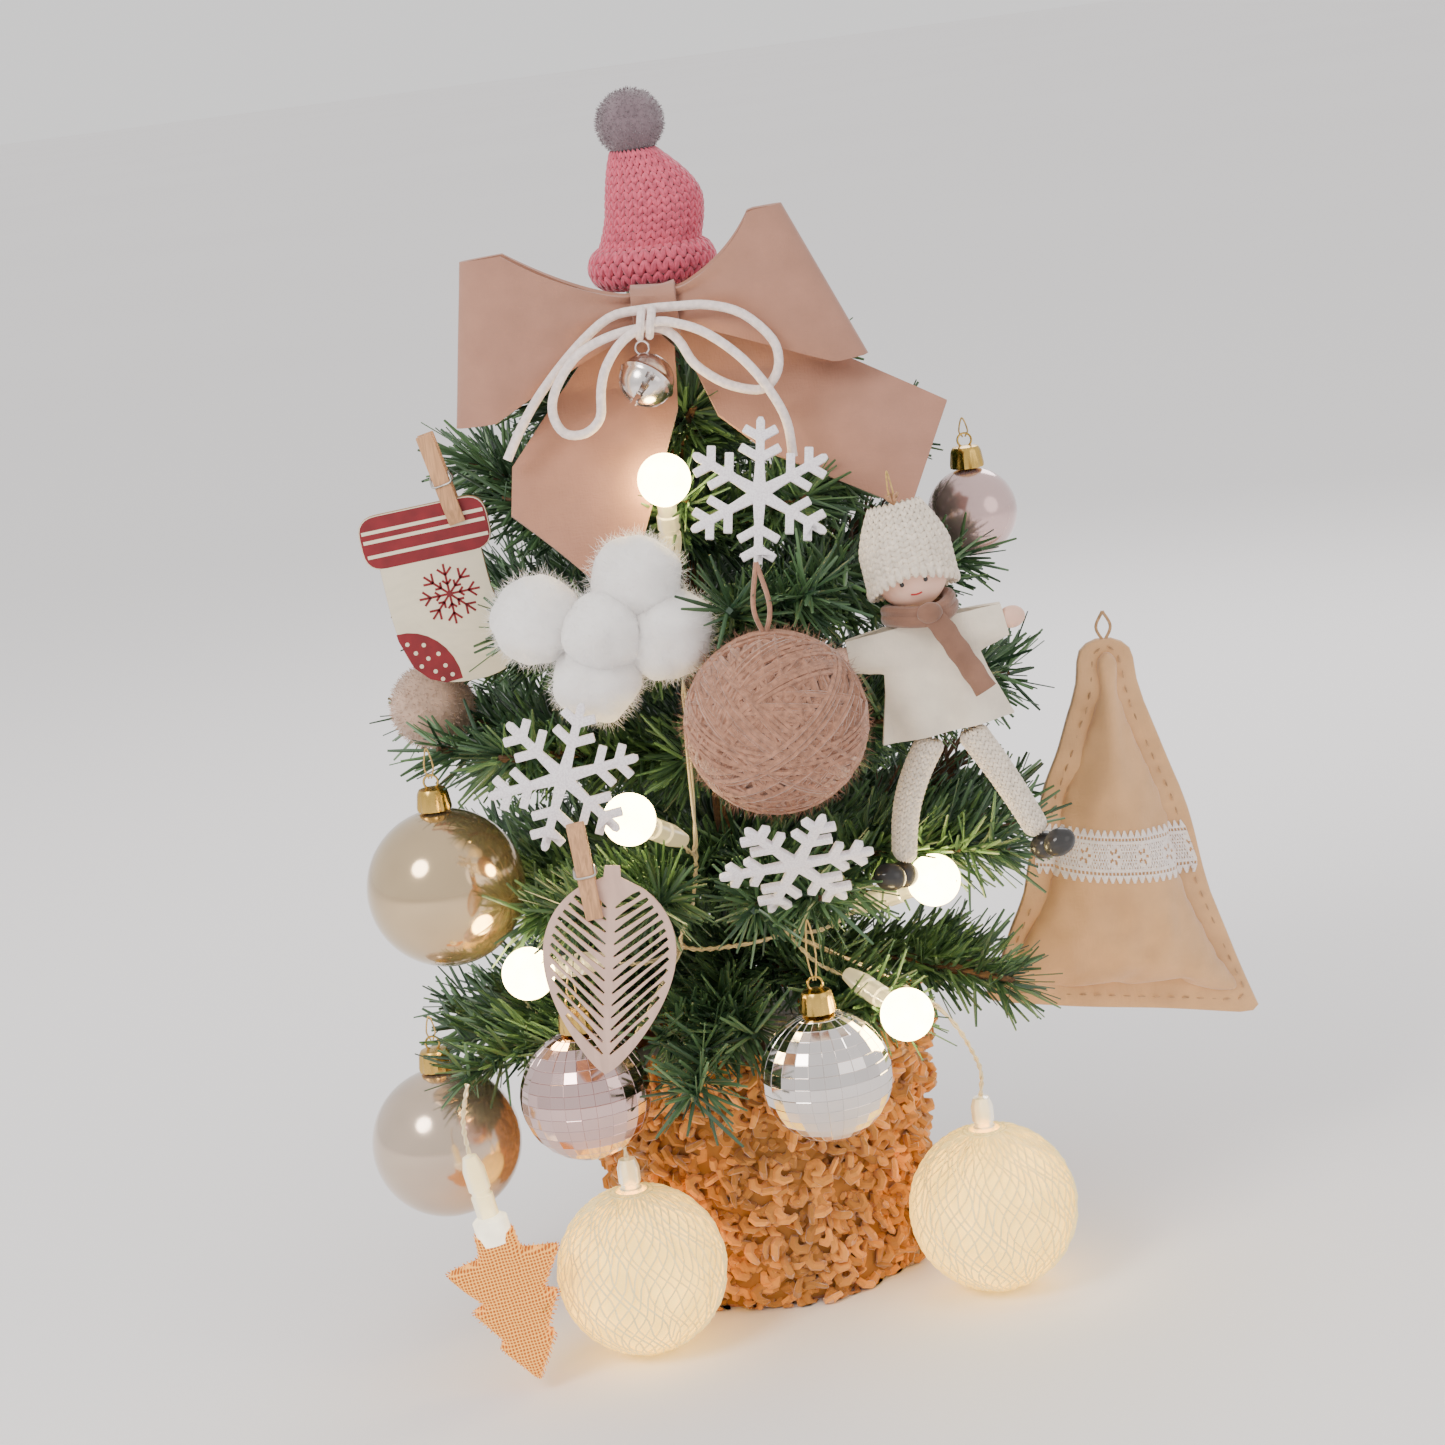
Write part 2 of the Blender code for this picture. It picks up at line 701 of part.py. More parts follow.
def make_bow():
    felt = finish("rose_felt", (0.56, 0.36, 0.30), 0.95)
    web_depth = FELT * 2
    web_y = -0.0050
    web = box_mesh(
        (KNOT_WIDTH + 0.010, web_depth, KNOT_HEIGHT * 0.66), (0.0, web_y, 0.0)
    )
    loops = add("bow_loops", web, felt, Matrix.Translation(KNOT))
    place = Matrix.Translation(KNOT + Vector((0.0, web_y, 0.0)))
    for side, slant, lift in ((-1, 0.16, -0.05), (1, 0.42, 0.06)):
        length = LOOP_LENGTH - RIGHT_LOOP_SHORTER * (side > 0)
        helper = add_cutter(f"bow_loop_{side}", loop_mesh(side, slant, lift, length), place)
        boolean(loops, helper, "UNION")
    make_tails(felt)
    half_y = KNOT_DEPTH / 2
    half_z = KNOT_HEIGHT / 2
    outer = rounded_box(half_y, half_z, 0.005)
    inner = rounded_box(half_y - FELT, half_z - FELT, 0.003)
    place = Matrix.Translation(KNOT) @ Matrix.Rotation(math.pi / 2, 4, "Z") @ UPRIGHT
    add("bow_knot", mesh_from_curve(flat_curve([outer, inner], KNOT_WIDTH)), felt, place)
    for height in (-RIBBON_WIDTH * 0.3, 0.0, RIBBON_WIDTH * 0.3):
        left = KNOT + Vector((-LOOP_LENGTH, 0.0, height))
        reserve(left, KNOT + Vector((LOOP_LENGTH, 0.0, height)), LOOP_BULGE + 0.006)


def rounded_box(half_x, half_y, radius, corner_points=3):
    points = []
    for quarter, (sx, sy) in enumerate(((1, 1), (-1, 1), (-1, -1), (1, -1))):
        for i in range(corner_points):
            turn = math.pi / 2 * (quarter + i / (corner_points - 1))
            points.append((
                sx * (half_x - radius) + radius * math.cos(turn),
                sy * (half_y - radius) + radius * math.sin(turn),
            ))
    return points


def make_cord_bow():
    cotton = finish("white_cord", (0.85, 0.82, 0.80), 0.9)
    route = smooth_route(CORD_ROUTE, CORD_DIAMETER * 2.7)
    obj = bpy.data.objects.new("cord_bow", tube_curve(route, CORD_DIAMETER / 2))
    obj.data.materials.append(cotton)
    PARTS.objects.link(obj)


def make_bell():
    silver = finish("silver", (0.80, 0.80, 0.82), 0.15, 1.0)
    hook = BELL_CENTRE + Vector((0.0, 0.0, BELL_RADIUS + 0.003))
    carrier = pivot("bell_pivot", hook)
    middle = BELL_CENTRE - hook
    place = Matrix.Translation(middle)
    bell = add("bell", sphere_mesh(BELL_RADIUS, 14, 10), silver, place, carrier)
    hollow = add_cutter("bell_hollow", sphere_mesh(BELL_RADIUS - BELL_WALL, 14, 8), place, carrier)
    boolean(bell, hollow, "DIFFERENCE")
    slot = box_mesh((BELL_RADIUS * 1.5, 0.0024, BELL_RADIUS), (0.0, 0.0, -BELL_RADIUS))
    boolean(bell, add_cutter("bell_slot", slot, place, carrier), "DIFFERENCE")
    pellet_radius = 0.003
    low = Matrix.Translation(middle - Vector((0.0, 0.0, BELL_RADIUS - BELL_WALL * 1.8 - pellet_radius)))
    add("bell_pellet", sphere_mesh(pellet_radius, 10, 6), silver, low, carrier)
    reserve_swing(hook, swing_axis(hook), BALL_SWING, BELL_CENTRE, BELL_CENTRE, BELL_RADIUS)


# ---------------------------------------------------------------- flat decorations

def snowflake_outline():
    """Six arms, each with two pairs of barbs and a square tip."""
    half = 0.0015
    side = []
    for base, length in ((0.0115, 0.0072), (0.0188, 0.0058)):
        side += [
            (base, half), (base + length * 0.5, half + length * 0.866),
            (base + length * 0.5 + half * 1.73, half + length * 0.866 - half),
            (base + half * 2.31, half),
        ]
    side += [(SNOWFLAKE_RADIUS - half, half), (SNOWFLAKE_RADIUS, half * 0.5)]
    arm = [(x, -y) for x, y in side] + [(x, y) for x, y in reversed(side)]
    outline = []
    for i in range(6):
        turn = Matrix.Rotation(i * math.pi / 3, 2)
        outline.append(turn @ Matrix.Rotation(-math.pi / 6, 2) @ Vector((0.0042, 0.0)))
        outline += [turn @ Vector(p) for p in arm]
    return [(p.x, p.y) for p in outline]


def make_snowflakes():
    white = finish("snow_white", (0.86, 0.84, 0.88), 0.6)
    for number, (centre, roll, lean) in enumerate(SNOWFLAKES, 1):
        place = (
            Matrix.Translation(centre)
            @ Matrix.Rotation(math.radians(lean), 4, "X")
            @ Matrix.Rotation(math.radians(-roll), 4, "Y")
            @ UPRIGHT
        )
        mesh = mesh_from_curve(flat_curve([snowflake_outline()], SNOWFLAKE_THICKNESS))
        add(f"snowflake_{number}", mesh, white, place)
        for i in range(6):
            tip = Vector((math.cos(i * math.pi / 3), math.sin(i * math.pi / 3), 0.0))
            reserve(centre, place @ (tip * SNOWFLAKE_RADIUS), SNOWFLAKE_THICKNESS)
        reserve(centre, centre, SNOWFLAKE_RADIUS * 0.5)


def stocking_outline():
    w = STOCKING_WIDTH / 2
    h = STOCKING_HEIGHT / 2
    return [
        (-w, h), (-w, h - 0.019), (-w * 0.82, h - 0.021), (-w * 0.80, -h * 0.35),
        (-w * 0.62, -h * 0.80), (-w * 0.20, -h), (w * 0.55, -h * 1.02), (w * 1.0, -h * 0.86),
        (w * 1.05, -h * 0.50), (w * 0.80, -h * 0.22), (w * 0.78, h - 0.021), (w * 0.96, h - 0.019),
        (w * 0.96, h),
    ]


def leaf_half_width(t):
    """Half the blade's width at a share t of its length from the stem."""
    return LEAF_WIDTH / 2 * math.sin(math.pi * t**0.72) ** 0.75


def leaf_outline():
    count = 12
    stem = 0.0035
    shares = [0.06 + 0.94 * i / count for i in range(count)]
    right = [(leaf_half_width(t), -LEAF_LENGTH * t) for t in shares]
    left = [(-x, y) for x, y in right]
    return [(-stem, 0.0), *left, (0.0, -LEAF_LENGTH), *reversed(right), (stem, 0.0)]


def plate_place(centre, roll, tilt=0.0):
    """Stands a flat outline up to face the viewer, turned in view and leaning out below."""
    return (
        Matrix.Translation(centre)
        @ Matrix.Rotation(-tilt, 4, "X")
        @ Matrix.Rotation(roll, 4, "Y")
        @ UPRIGHT
    )


def make_pin(name, place, grip_thickness):
    """Two wooden legs on a wire spring: the lower ends grip a board."""
    space = grip_thickness / 2 + GAP
    offset = space + PIN_LEG / 2
    carrier = pivot(f"{name}_pivot", place.translation, place.to_3x3().to_4x4())
    for label, sign in (("front", -1.0), ("back", 1.0)):
        leg = box_mesh((PIN_WIDTH, PIN_LEG, PIN_LENGTH), (0.0, sign * offset, 0.0))
        add(f"{name}_{label}", leg, warm_wood(), parent=carrier)
    steel = finish("spring_steel", (0.55, 0.53, 0.50), 0.35, 1.0)
    across = Matrix.Rotation(math.pi / 2, 4, "Y")
    coil = cylinder_mesh(space - GAP, -PIN_WIDTH * 0.6, PIN_WIDTH * 0.6, 12)
    add(f"{name}_spring", coil, steel, across, carrier)
    half = Vector((0.0, 0.0, PIN_LENGTH / 2))
    reserve(place @ half, place @ -half, offset + PIN_LEG)


def pin_place(board, up, across, roll):
    """The pin's frame, with its grip over a point of the board's upper edge."""
    edge = board @ Vector((across, up, 0.0))
    turn = board.to_3x3().to_4x4() @ Matrix.Rotation(-math.pi / 2, 4, "X")
    turn = turn @ Matrix.Rotation(roll, 4, "Y")
    rise = turn @ Vector((0.0, 0.0, PIN_LENGTH / 2 - PIN_GRIP))
    return Matrix.Translation(edge + rise) @ turn


def make_stocking():
    board = finish("stocking_board", (0.62, 0.50, 0.36), 0.8)
    place = plate_place(STOCKING_CENTRE, STOCKING_ROLL)
    mesh = mesh_from_curve(flat_curve([stocking_outline()], STOCKING_THICKNESS))
    add("stocking", mesh, board, place)
    make_pin("stocking_pin", pin_place(place, STOCKING_HEIGHT / 2, 0.011, math.radians(-8)), STOCKING_THICKNESS)
    for x in (-0.3, 0.0, 0.3):
        low = place @ Vector((x * STOCKING_WIDTH, -STOCKING_HEIGHT / 2, 0.0))
        high = place @ Vector((x * STOCKING_WIDTH, STOCKING_HEIGHT / 2, 0.0))
        reserve(low, high, 0.008)


def make_leaf():
    pale = finish("pale_wood", (0.72, 0.55, 0.48), 0.7)
    place = plate_place(LEAF_TOP, LEAF_ROLL, LEAF_TILT)
    mesh = mesh_from_curve(flat_curve([leaf_outline()], LEAF_THICKNESS))
    add("leaf", mesh, pale, place)
    make_pin("leaf_pin", pin_place(place, -0.006, -0.0075, math.radians(-14)), LEAF_THICKNESS)
    reserve(place @ Vector((0.0, -0.012, 0.0)), place @ Vector((0.0, -LEAF_LENGTH, 0.0)), 0.010)


# ---------------------------------------------------------------- soft decorations

def make_cotton():
    white = finish("cotton", (0.90, 0.88, 0.85), 1.0)
    middle = add("cotton_flower", sphere_mesh(COTTON_PUFFS[-1][3], 12, 8), white,
                 Matrix.Translation(COTTON_CENTRE + Vector(COTTON_PUFFS[-1][:3])))
    for number, (x, y, z, radius) in enumerate(COTTON_PUFFS[:-1], 1):
        place = COTTON_CENTRE + Vector((x, y, z))
        boolean(middle, add_cutter(f"puff_{number}", sphere_mesh(radius, 12, 8), Matrix.Translation(place)), "UNION")
        reserve(place, place, radius)


def make_yarn_ball():
    yarn = finish("rose_yarn", (0.55, 0.33, 0.26), 1.0)
    hook = YARN_CENTRE + Vector((0.0, 0.0, YARN_RADIUS + YARN_LOOP))
    carrier = pivot("yarn_pivot", hook)
    place = Matrix.Translation(YARN_CENTRE - hook)
    add("yarn_ball", sphere_mesh(YARN_RADIUS, 18, 12), yarn, place, carrier)
    reserve_swing(hook, swing_axis(hook), BALL_SWING, YARN_CENTRE, YARN_CENTRE, YARN_RADIUS)


def make_hanging_ball(name, centre, radius, thread, surface, metal):
    neck = math.degrees(math.acos(NECK_RADIUS / radius))
    inner_radius = radius - BALL_WALL
    inner_neck = math.degrees(math.acos(NECK_RADIUS / inner_radius))
    shoulder = math.sqrt(radius**2 - NECK_RADIUS**2)
    hook = centre + Vector((0.0, 0.0, shoulder + GAP + CAP_HEIGHT + thread))
    carrier = pivot(f"{name}_pivot", hook)
    place = Matrix.Translation(centre - hook)
    profile = [*arc(inner_radius, -90.0, inner_neck, 6), *arc(radius, neck, -90.0, 9)]
    profile[0] = (0.0, -inner_radius)
    profile[-1] = (0.0, -radius)
    turned(name, profile, surface, steps=18, matrix=place, parent=carrier)
    low = shoulder + GAP
    plug = NECK_RADIUS - GAP * 2
    turned(f"{name}_cap", [
        (0.0, low + CAP_HEIGHT), (CAP_RADIUS * 0.86, low + CAP_HEIGHT), (CAP_RADIUS, low + CAP_HEIGHT * 0.8),
        (CAP_RADIUS, low), (plug, low), (plug, low - 0.003), (0.0, low - 0.003),
    ], metal, steps=12, matrix=place, parent=carrier)
    axis = swing_axis(hook)
    reserve_swing(hook, axis, BALL_SWING, centre, centre, radius)
    reserve_swing(hook, axis, BALL_SWING, centre, centre + Vector((0.0, 0.0, low + CAP_HEIGHT)), CAP_RADIUS)


def make_balls():
    gold = finish("gold_cap", (0.65, 0.42, 0.12), 0.3, 1.0)
    surfaces = {
        "champagne_ball": finish("champagne_gloss", (0.72, 0.62, 0.45), 0.15, 0.8),
        "pearl_ball": finish("pearl_gloss", (0.74, 0.68, 0.60), 0.2, 0.6),
        "mirror_ball_left": finish("rose_mirror", (0.62, 0.42, 0.40), 0.1, 1.0),
        "mirror_ball_front": finish("silver_mirror", (0.75, 0.70, 0.68), 0.1, 1.0),
        "pink_ball": finish("pink_gloss", (0.72, 0.50, 0.50), 0.2, 0.6),
    }
    for name, centre, radius, thread in BALLS:
        make_hanging_ball(name, centre, radius, thread, surfaces[name], gold)
    felt = finish("pale_felt", (0.66, 0.52, 0.42), 0.95)
    hook = FELT_BALL_CENTRE + Vector((0.0, 0.0, FELT_BALL_RADIUS + FELT_BALL_THREAD))
    carrier = pivot("felt_ball_pivot", hook)
    add("felt_ball", sphere_mesh(FELT_BALL_RADIUS), felt, Matrix.Translation(FELT_BALL_CENTRE - hook), carrier)
    reserve_swing(hook, swing_axis(hook), BALL_SWING, FELT_BALL_CENTRE, FELT_BALL_CENTRE, FELT_BALL_RADIUS)


def make_doll():
    knit = finish("cream_knit", (0.80, 0.74, 0.66), 0.95)
    skin = finish("peach_skin", (0.86, 0.62, 0.52), 0.6)
    brown = finish("brown_felt", (0.38, 0.23, 0.16), 0.95)
    cream = finish("cream_felt", (0.84, 0.80, 0.74), 0.95)
    black = finish("black_wood", (0.03, 0.03, 0.03), 0.5)
    head_z = DOLL_HEAD_RADIUS + 0.0006
    hat_top = head_z + DOLL_HAT_HEIGHT
    lean = Matrix.Rotation(DOLL_LEAN, 4, "Y")
    stance = Matrix.Translation(DOLL_COLLAR) @ lean
    hang = hat_top + DOLL_HANG - 0.020
    hook = stance @ Vector((0.0, 0.0, hang))
    carrier = pivot("doll_pivot", hook, lean)
    base = Vector((0.0, 0.0, -hang))

    def at(x, y, z):
        return Matrix.Translation(base + Vector((x, y, z)))

    add("doll_head", sphere_mesh(DOLL_HEAD_RADIUS, 14, 10), skin, at(0.0, 0.0, head_z), carrier)
    inner = DOLL_HEAD_RADIUS + GAP
    outer = inner + DOLL_HAT_WALL
    brim = 8.0
    peak = DOLL_HAT_HEIGHT
    turned("doll_hat", [
        (0.0, peak), (outer * 0.40, peak - 0.002), (outer * 0.80, peak * 0.62), (outer, peak * 0.30),
        (outer, inner * math.sin(math.radians(brim))), *arc(inner, brim, 90.0, 7)[:-1], (0.0, inner),
    ], knit, steps=16, matrix=at(0.0, 0.0, head_z), parent=carrier)
    ring = arc(DOLL_SCARF_ROLL, 90.0, -210.0, 6, (DOLL_SCARF_RING, 0.0))
    scarf = turned("doll_scarf", ring, brown, closed=True, steps=16, matrix=at(0.0, 0.0, 0.0), parent=carrier)
    tail = box_mesh((0.008, 0.0026, 0.034), (0.0075, -DOLL_SCARF_RING, -0.016))
    boolean(scarf, add_cutter("scarf_tail", tail, at(0.0, 0.0, 0.0), carrier), "UNION")
    shoulder = -(DOLL_SCARF_ROLL + GAP * 2)
    half_collar = 0.005
    right = [
        (half_collar, -GAP), (half_collar, shoulder), (DOLL_ARM_SPAN, shoulder - 0.001),
        (DOLL_ARM_SPAN, shoulder - 0.011), (0.0165, shoulder - 0.015),
        (0.0235, shoulder - DOLL_COAT_LENGTH),
    ]
    outline = [(-x, z) for x, z in right] + [(x, z) for x, z in reversed(right)]
    coat = mesh_from_curve(flat_curve([outline], DOLL_COAT_DEPTH))
    add("doll_coat", coat, cream, at(0.0, 0.0, 0.0) @ UPRIGHT, carrier)
    hip_z = shoulder - DOLL_COAT_LENGTH - GAP - DOLL_LEG_RADIUS
    for label, x, splay in (
        ("left", -DOLL_HIP_SPREAD, DOLL_LEFT_SPLAY), ("right", DOLL_HIP_SPREAD, -DOLL_RIGHT_SPLAY),
    ):
        turn = Matrix.Rotation(DOLL_LEAN + splay, 4, "Y")
        hip = pivot(f"doll_hip_{label}", stance @ Vector((x, 0.0, hip_z)), turn)
        hip_place = hip.matrix_world.copy()
        hip.parent = carrier
        hip.matrix_world = hip_place
        add(f"doll_leg_{label}", capsule_mesh(DOLL_LEG_RADIUS, DOLL_LEG_LENGTH), knit, parent=hip)
        drop = DOLL_LEG_LENGTH + DOLL_LEG_RADIUS + GAP + DOLL_SHOE.z
        shoe = sphere_mesh(1.0, 12, 8, DOLL_SHOE)
        add(f"doll_shoe_{label}", shoe, black, Matrix.Translation((0.0, -0.002, -drop)), hip)
        reserve_swing(hook, swing_axis(hook), DOLL_SWING, hip_place @ Vector(),
                      hip_place @ Vector((0.0, 0.0, -drop)), DOLL_SHOE.y)
    low = stance @ Vector((0.0, 0.0, hip_z))
    top = stance @ Vector((0.0, 0.0, hat_top))
    reserve_swing(hook, swing_axis(hook), DOLL_SWING, low, DOLL_COLLAR, 0.014)
    reserve_swing(hook, swing_axis(hook), DOLL_SWING, DOLL_COLLAR, top, outer)
    arms = [stance @ Vector((s * DOLL_ARM_SPAN, 0.0, shoulder - 0.007)) for s in (-1, 1)]
    reserve_swing(hook, swing_axis(hook), DOLL_SWING, *arms, 0.008)


def cushion_outline():
    """A fir with rounded corners and sides that curve in."""
    top_half = 0.010
    count = 9
    right = []
    for i in range(count + 1):
        t = i / count
        right.append((CUSHION_WIDTH / 2 * (1 - t) ** 1.25 * 0.97 + top_half * t, CUSHION_HEIGHT * (0.035 + 0.925 * t)))
    corner = [(CUSHION_WIDTH * 0.44, 0.0), (CUSHION_WIDTH * 0.49, CUSHION_HEIGHT * 0.012)]
    right = corner + right + [(top_half * 0.6, CUSHION_HEIGHT)]
    both = right + [(-x, y) for x, y in reversed(right)]
    return [(x, y - CUSHION_SKEW * x * (1 - y / CUSHION_HEIGHT)) for x, y in both]


def make_cushion():
    wool = finish("camel_wool", (0.66, 0.46, 0.27), 1.0)
    turn = Matrix.Rotation(CUSHION_TURN, 4, "Z") @ Matrix.Rotation(CUSHION_ROLL, 4, "Y")
    local = Matrix.Translation(CUSHION_BASE) @ turn
    carrier = pivot("cushion_pivot", local @ Vector((0.0, 0.0, CUSHION_HEIGHT + CUSHION_LOOP)), turn)
    mesh = mesh_from_curve(flat_curve([cushion_outline()], CUSHION_DEPTH))
    place = Matrix.Translation((0.0, 0.0, -CUSHION_HEIGHT - CUSHION_LOOP)) @ UPRIGHT
    add("cushion", mesh, wool, place, carrier)
    half = CUSHION_DEPTH / 2
    w = CUSHION_WIDTH / 2
    spans = (
        ((-w, 0.0, 0.006), (-w * 0.3, 0.0, CUSHION_HEIGHT * 0.45)),
        ((-w, 0.0, 0.006), (w, 0.0, 0.006)),
        ((-w * 0.3, 0.0, CUSHION_HEIGHT * 0.45), (0.0, 0.0, CUSHION_HEIGHT)),
        ((0.0, 0.0, CUSHION_HEIGHT * 0.2), (0.0, 0.0, CUSHION_HEIGHT)),
    )
    for a, b in spans:
        reserve(local @ Vector(a), local @ Vector(b), half + 0.006)


# ---------------------------------------------------------------- lights

def cotton_light_centre(spot):
    return spot + Vector((0.0, 0.0, COTTON_LIGHT_RADIUS))


def make_cotton_lights():
    glow = finish("woven_glow", (0.95, 0.88, 0.60), 0.9)
    for number, spot in enumerate(COTTON_LIGHTS, 1):
        inner = COTTON_LIGHT_RADIUS - COTTON_LIGHT_WALL
        rim = math.degrees(math.acos(COTTON_LIGHT_HOLE / COTTON_LIGHT_RADIUS))
        inner_rim = math.degrees(math.acos(COTTON_LIGHT_HOLE / inner))
        profile = [*arc(inner, -90.0, inner_rim, 6), *arc(COTTON_LIGHT_RADIUS, rim, -90.0, 10)]
        profile[0] = (0.0, -inner)
        profile[-1] = (0.0, -COTTON_LIGHT_RADIUS)
        centre = cotton_light_centre(spot)
        turned(f"cotton_light_{number}", profile, glow, steps=18, matrix=Matrix.Translation(centre))
        reserve(centre, centre, COTTON_LIGHT_RADIUS)


def lead(points, extra):
    """One stretch of wire for the light string, which branches keep clear of."""
    mesh = mesh_from_curve(tube_curve(points, WIRE_RADIUS, resolution=0))
    extra.append(mesh)
    for a, b in zip(points, points[1:]):
        reserve(a, b, WIRE_RADIUS)


def aimed(place, direction):
    return Matrix.Translation(place) @ direction.to_track_quat("Z", "Y").to_matrix().to_4x4()


def make_light_string():
    """The lit globes on their leads, the two lamps that light the cotton balls, and the main run."""
    clear = finish("clear_globe", (0.95, 0.92, 0.80), 0.2)
    run = smooth_route(LIGHT_RUN, 0.009)
    beside = CASE_SIZE.x / 2 + WIRE_RADIUS + GAP
    case_exit = Vector((beside, CASE_CENTRE_Y - 0.004, case_base() + CASE_SIZE.z * 0.4))
    start = smooth_route((case_exit, case_exit + Vector((0.002, 0.0, 0.020)), run[0]), 0.008)
    main = add("light_string", mesh_from_curve(tube_curve(start[:-1] + run, WIRE_RADIUS, resolution=0)), clear)
    for a, b in zip(run, run[1:]):
        reserve(a, b, WIRE_RADIUS)
    for a, b in zip(start, start[1:]):
        reserve(a, b, WIRE_RADIUS)
    extra = []
    for joint in sorted({tuple(joint) for _, joint in BULBS}):
        bead = sphere_mesh(WIRE_RADIUS * 2, 8, 6)
        bead.transform(Matrix.Translation(joint))
        extra.append(bead)
    for centre, joint in BULBS:
        toward = (centre - joint).normalized()
        tail = centre - toward * (BULB_RADIUS * 0.9 + SOCKET_LENGTH)
        sag = Vector((0.0, 0.0, -0.004))
        lead([joint - toward * WIRE_RADIUS, joint.lerp(tail, 0.5) + sag, tail + toward * 0.003], extra)
        globe = sphere_mesh(BULB_RADIUS, 12, 8)
        globe.transform(Matrix.Translation(centre))
        socket = cylinder_mesh(SOCKET_RADIUS, 0.0, SOCKET_LENGTH + 0.002, 10)
        socket.transform(aimed(tail, toward))
        extra += [globe, socket]
        reserve(centre, centre, BULB_RADIUS)
        reserve(tail, centre, SOCKET_RADIUS)
    anchors = (Vector((-0.020, -0.052, 0.143)), Vector((0.018, -0.050, 0.143)))
    for spot, anchor in zip(COTTON_LIGHTS, anchors):
        centre = cotton_light_centre(spot)
        lamp = centre + Vector((0.0, 0.0, COTTON_LIGHT_RADIUS - 0.020))
        top = centre + Vector((0.0, 0.0, COTTON_LIGHT_RADIUS + 0.012))
        stem = cylinder_mesh(SOCKET_RADIUS, 0.0, top.z - lamp.z, 10)
        stem.transform(Matrix.Translation(lamp))
        extra.append(stem)
        reserve(lamp, top, SOCKET_RADIUS)
        rise = top.lerp(anchor, 0.25) + Vector((0.0, 0.0, 0.022))
        route = smooth_route((top - Vector((0.0, 0.0, 0.002)), top + Vector((0.0, 0.0, 0.014)), rise, anchor), 0.012)
        lead(route, extra)
    for number, mesh in enumerate(extra, 1):
        boolean(main, add_cutter(f"string_piece_{number}", mesh), "UNION")


def tree_light_outline():
    """A three-step fir upside down under its stem."""
    stem = 0.0042
    w = TREE_LIGHT_WIDTH / 2
    h = TREE_LIGHT_HEIGHT
    right = [
        (stem, TREE_LIGHT_STEM), (stem, 0.0), (w * 0.34, 0.0), (w * 0.34, -h * 0.16),
        (w, -h * 0.20), (w * 0.50, -h * 0.46), (w * 0.76, -h * 0.48), (w * 0.36, -h * 0.72),
        (w * 0.50, -h * 0.74), (w * 0.04, -h),
    ]
    return right + [(-x, y) for x, y in reversed(right)]


def make_tree_light():
    jute = finish("lit_jute", (0.85, 0.45, 0.12), 0.9)
    hook = TREE_LIGHT_TOP + Vector((-0.002, 0.004, TREE_LIGHT_STEM + TREE_LIGHT_LEAD))
    carrier = pivot("tree_light_pivot", hook)
    place = Matrix.Translation(TREE_LIGHT_TOP - hook) @ Matrix.Rotation(TREE_LIGHT_ROLL, 4, "Y") @ UPRIGHT
    mesh = mesh_from_curve(flat_curve([tree_light_outline()], TREE_LIGHT_DEPTH))
    add("tree_light", mesh, jute, place, carrier)
    reserve_swing(hook, swing_axis(hook), TREE_LIGHT_SWING, TREE_LIGHT_TOP + Vector((0.0, 0.0, TREE_LIGHT_STEM)),
                  TREE_LIGHT_TOP - Vector((0.0, 0.0, TREE_LIGHT_HEIGHT)), TREE_LIGHT_WIDTH / 2)


# ---------------------------------------------------------------- battery box

def case_base():
    return WEIGHT_LEVEL + GAP


def make_battery_box():
    clear = finish("case_plastic", (0.80, 0.80, 0.78), 0.3)
    steel = finish("cell_steel", (0.60, 0.60, 0.60), 0.3, 1.0)
    base = case_base()
    centre = Vector((0.0, CASE_CENTRE_Y, base + CASE_SIZE.z / 2))
    case = add("battery_case", box_mesh(CASE_SIZE), clear, Matrix.Translation(centre))
    hollow = box_mesh(
        (CASE_SIZE.x - CASE_WALL * 2, CASE_SIZE.y - CASE_WALL * 2, CASE_SIZE.z), (0.0, 0.0, CASE_WALL)
    )
    boolean(case, add_cutter("case_hollow", hollow, Matrix.Translation(centre)), "DIFFERENCE")
    cells = Matrix.Translation((0.0, CASE_CENTRE_Y, base + CASE_WALL + GAP))
    add("coin_cells", cylinder_mesh(CELL_RADIUS, 0.0, CELL_HEIGHT, 20), steel, cells)
    lid_place = Matrix.Translation((0.0, CASE_CENTRE_Y, base + CASE_SIZE.z + GAP + CASE_WALL / 2))
    add("battery_lid", box_mesh((CASE_SIZE.x, CASE_SIZE.y, CASE_WALL)), clear, lid_place)
    side = CASE_SIZE.x / 2 + GAP + SWITCH_SIZE.x / 2
    switch_place = Matrix.Translation((-side, CASE_CENTRE_Y, base + CASE_SIZE.z * 0.55))
    add("battery_switch", box_mesh(SWITCH_SIZE), clear, switch_place)
    lift = Vector((0.0, 0.0, 0.010))
    for x in (-1, 0, 1):
        corner = Vector((x * CASE_SIZE.x / 2, CASE_CENTRE_Y + CASE_SIZE.y / 2, base + CASE_SIZE.z))
        front = Vector((x * CASE_SIZE.x / 2, CASE_CENTRE_Y - CASE_SIZE.y / 2, base + CASE_SIZE.z))
        reserve(corner + lift, front + lift, 0.003)


make_pot()
make_weight()
make_cover()
make_trunk()
make_hat()
make_bow()
make_cord_bow()
make_bell()
make_snowflakes()
make_cotton()
make_yarn_ball()
make_doll()
make_cushion()
make_stocking()
make_leaf()
make_balls()
make_cotton_lights()
make_light_string()
make_tree_light()
make_battery_box()
for tier_number, tier in enumerate(TIERS, 1):
    make_tier(tier_number, *tier)
bpy.context.view_layer.update()
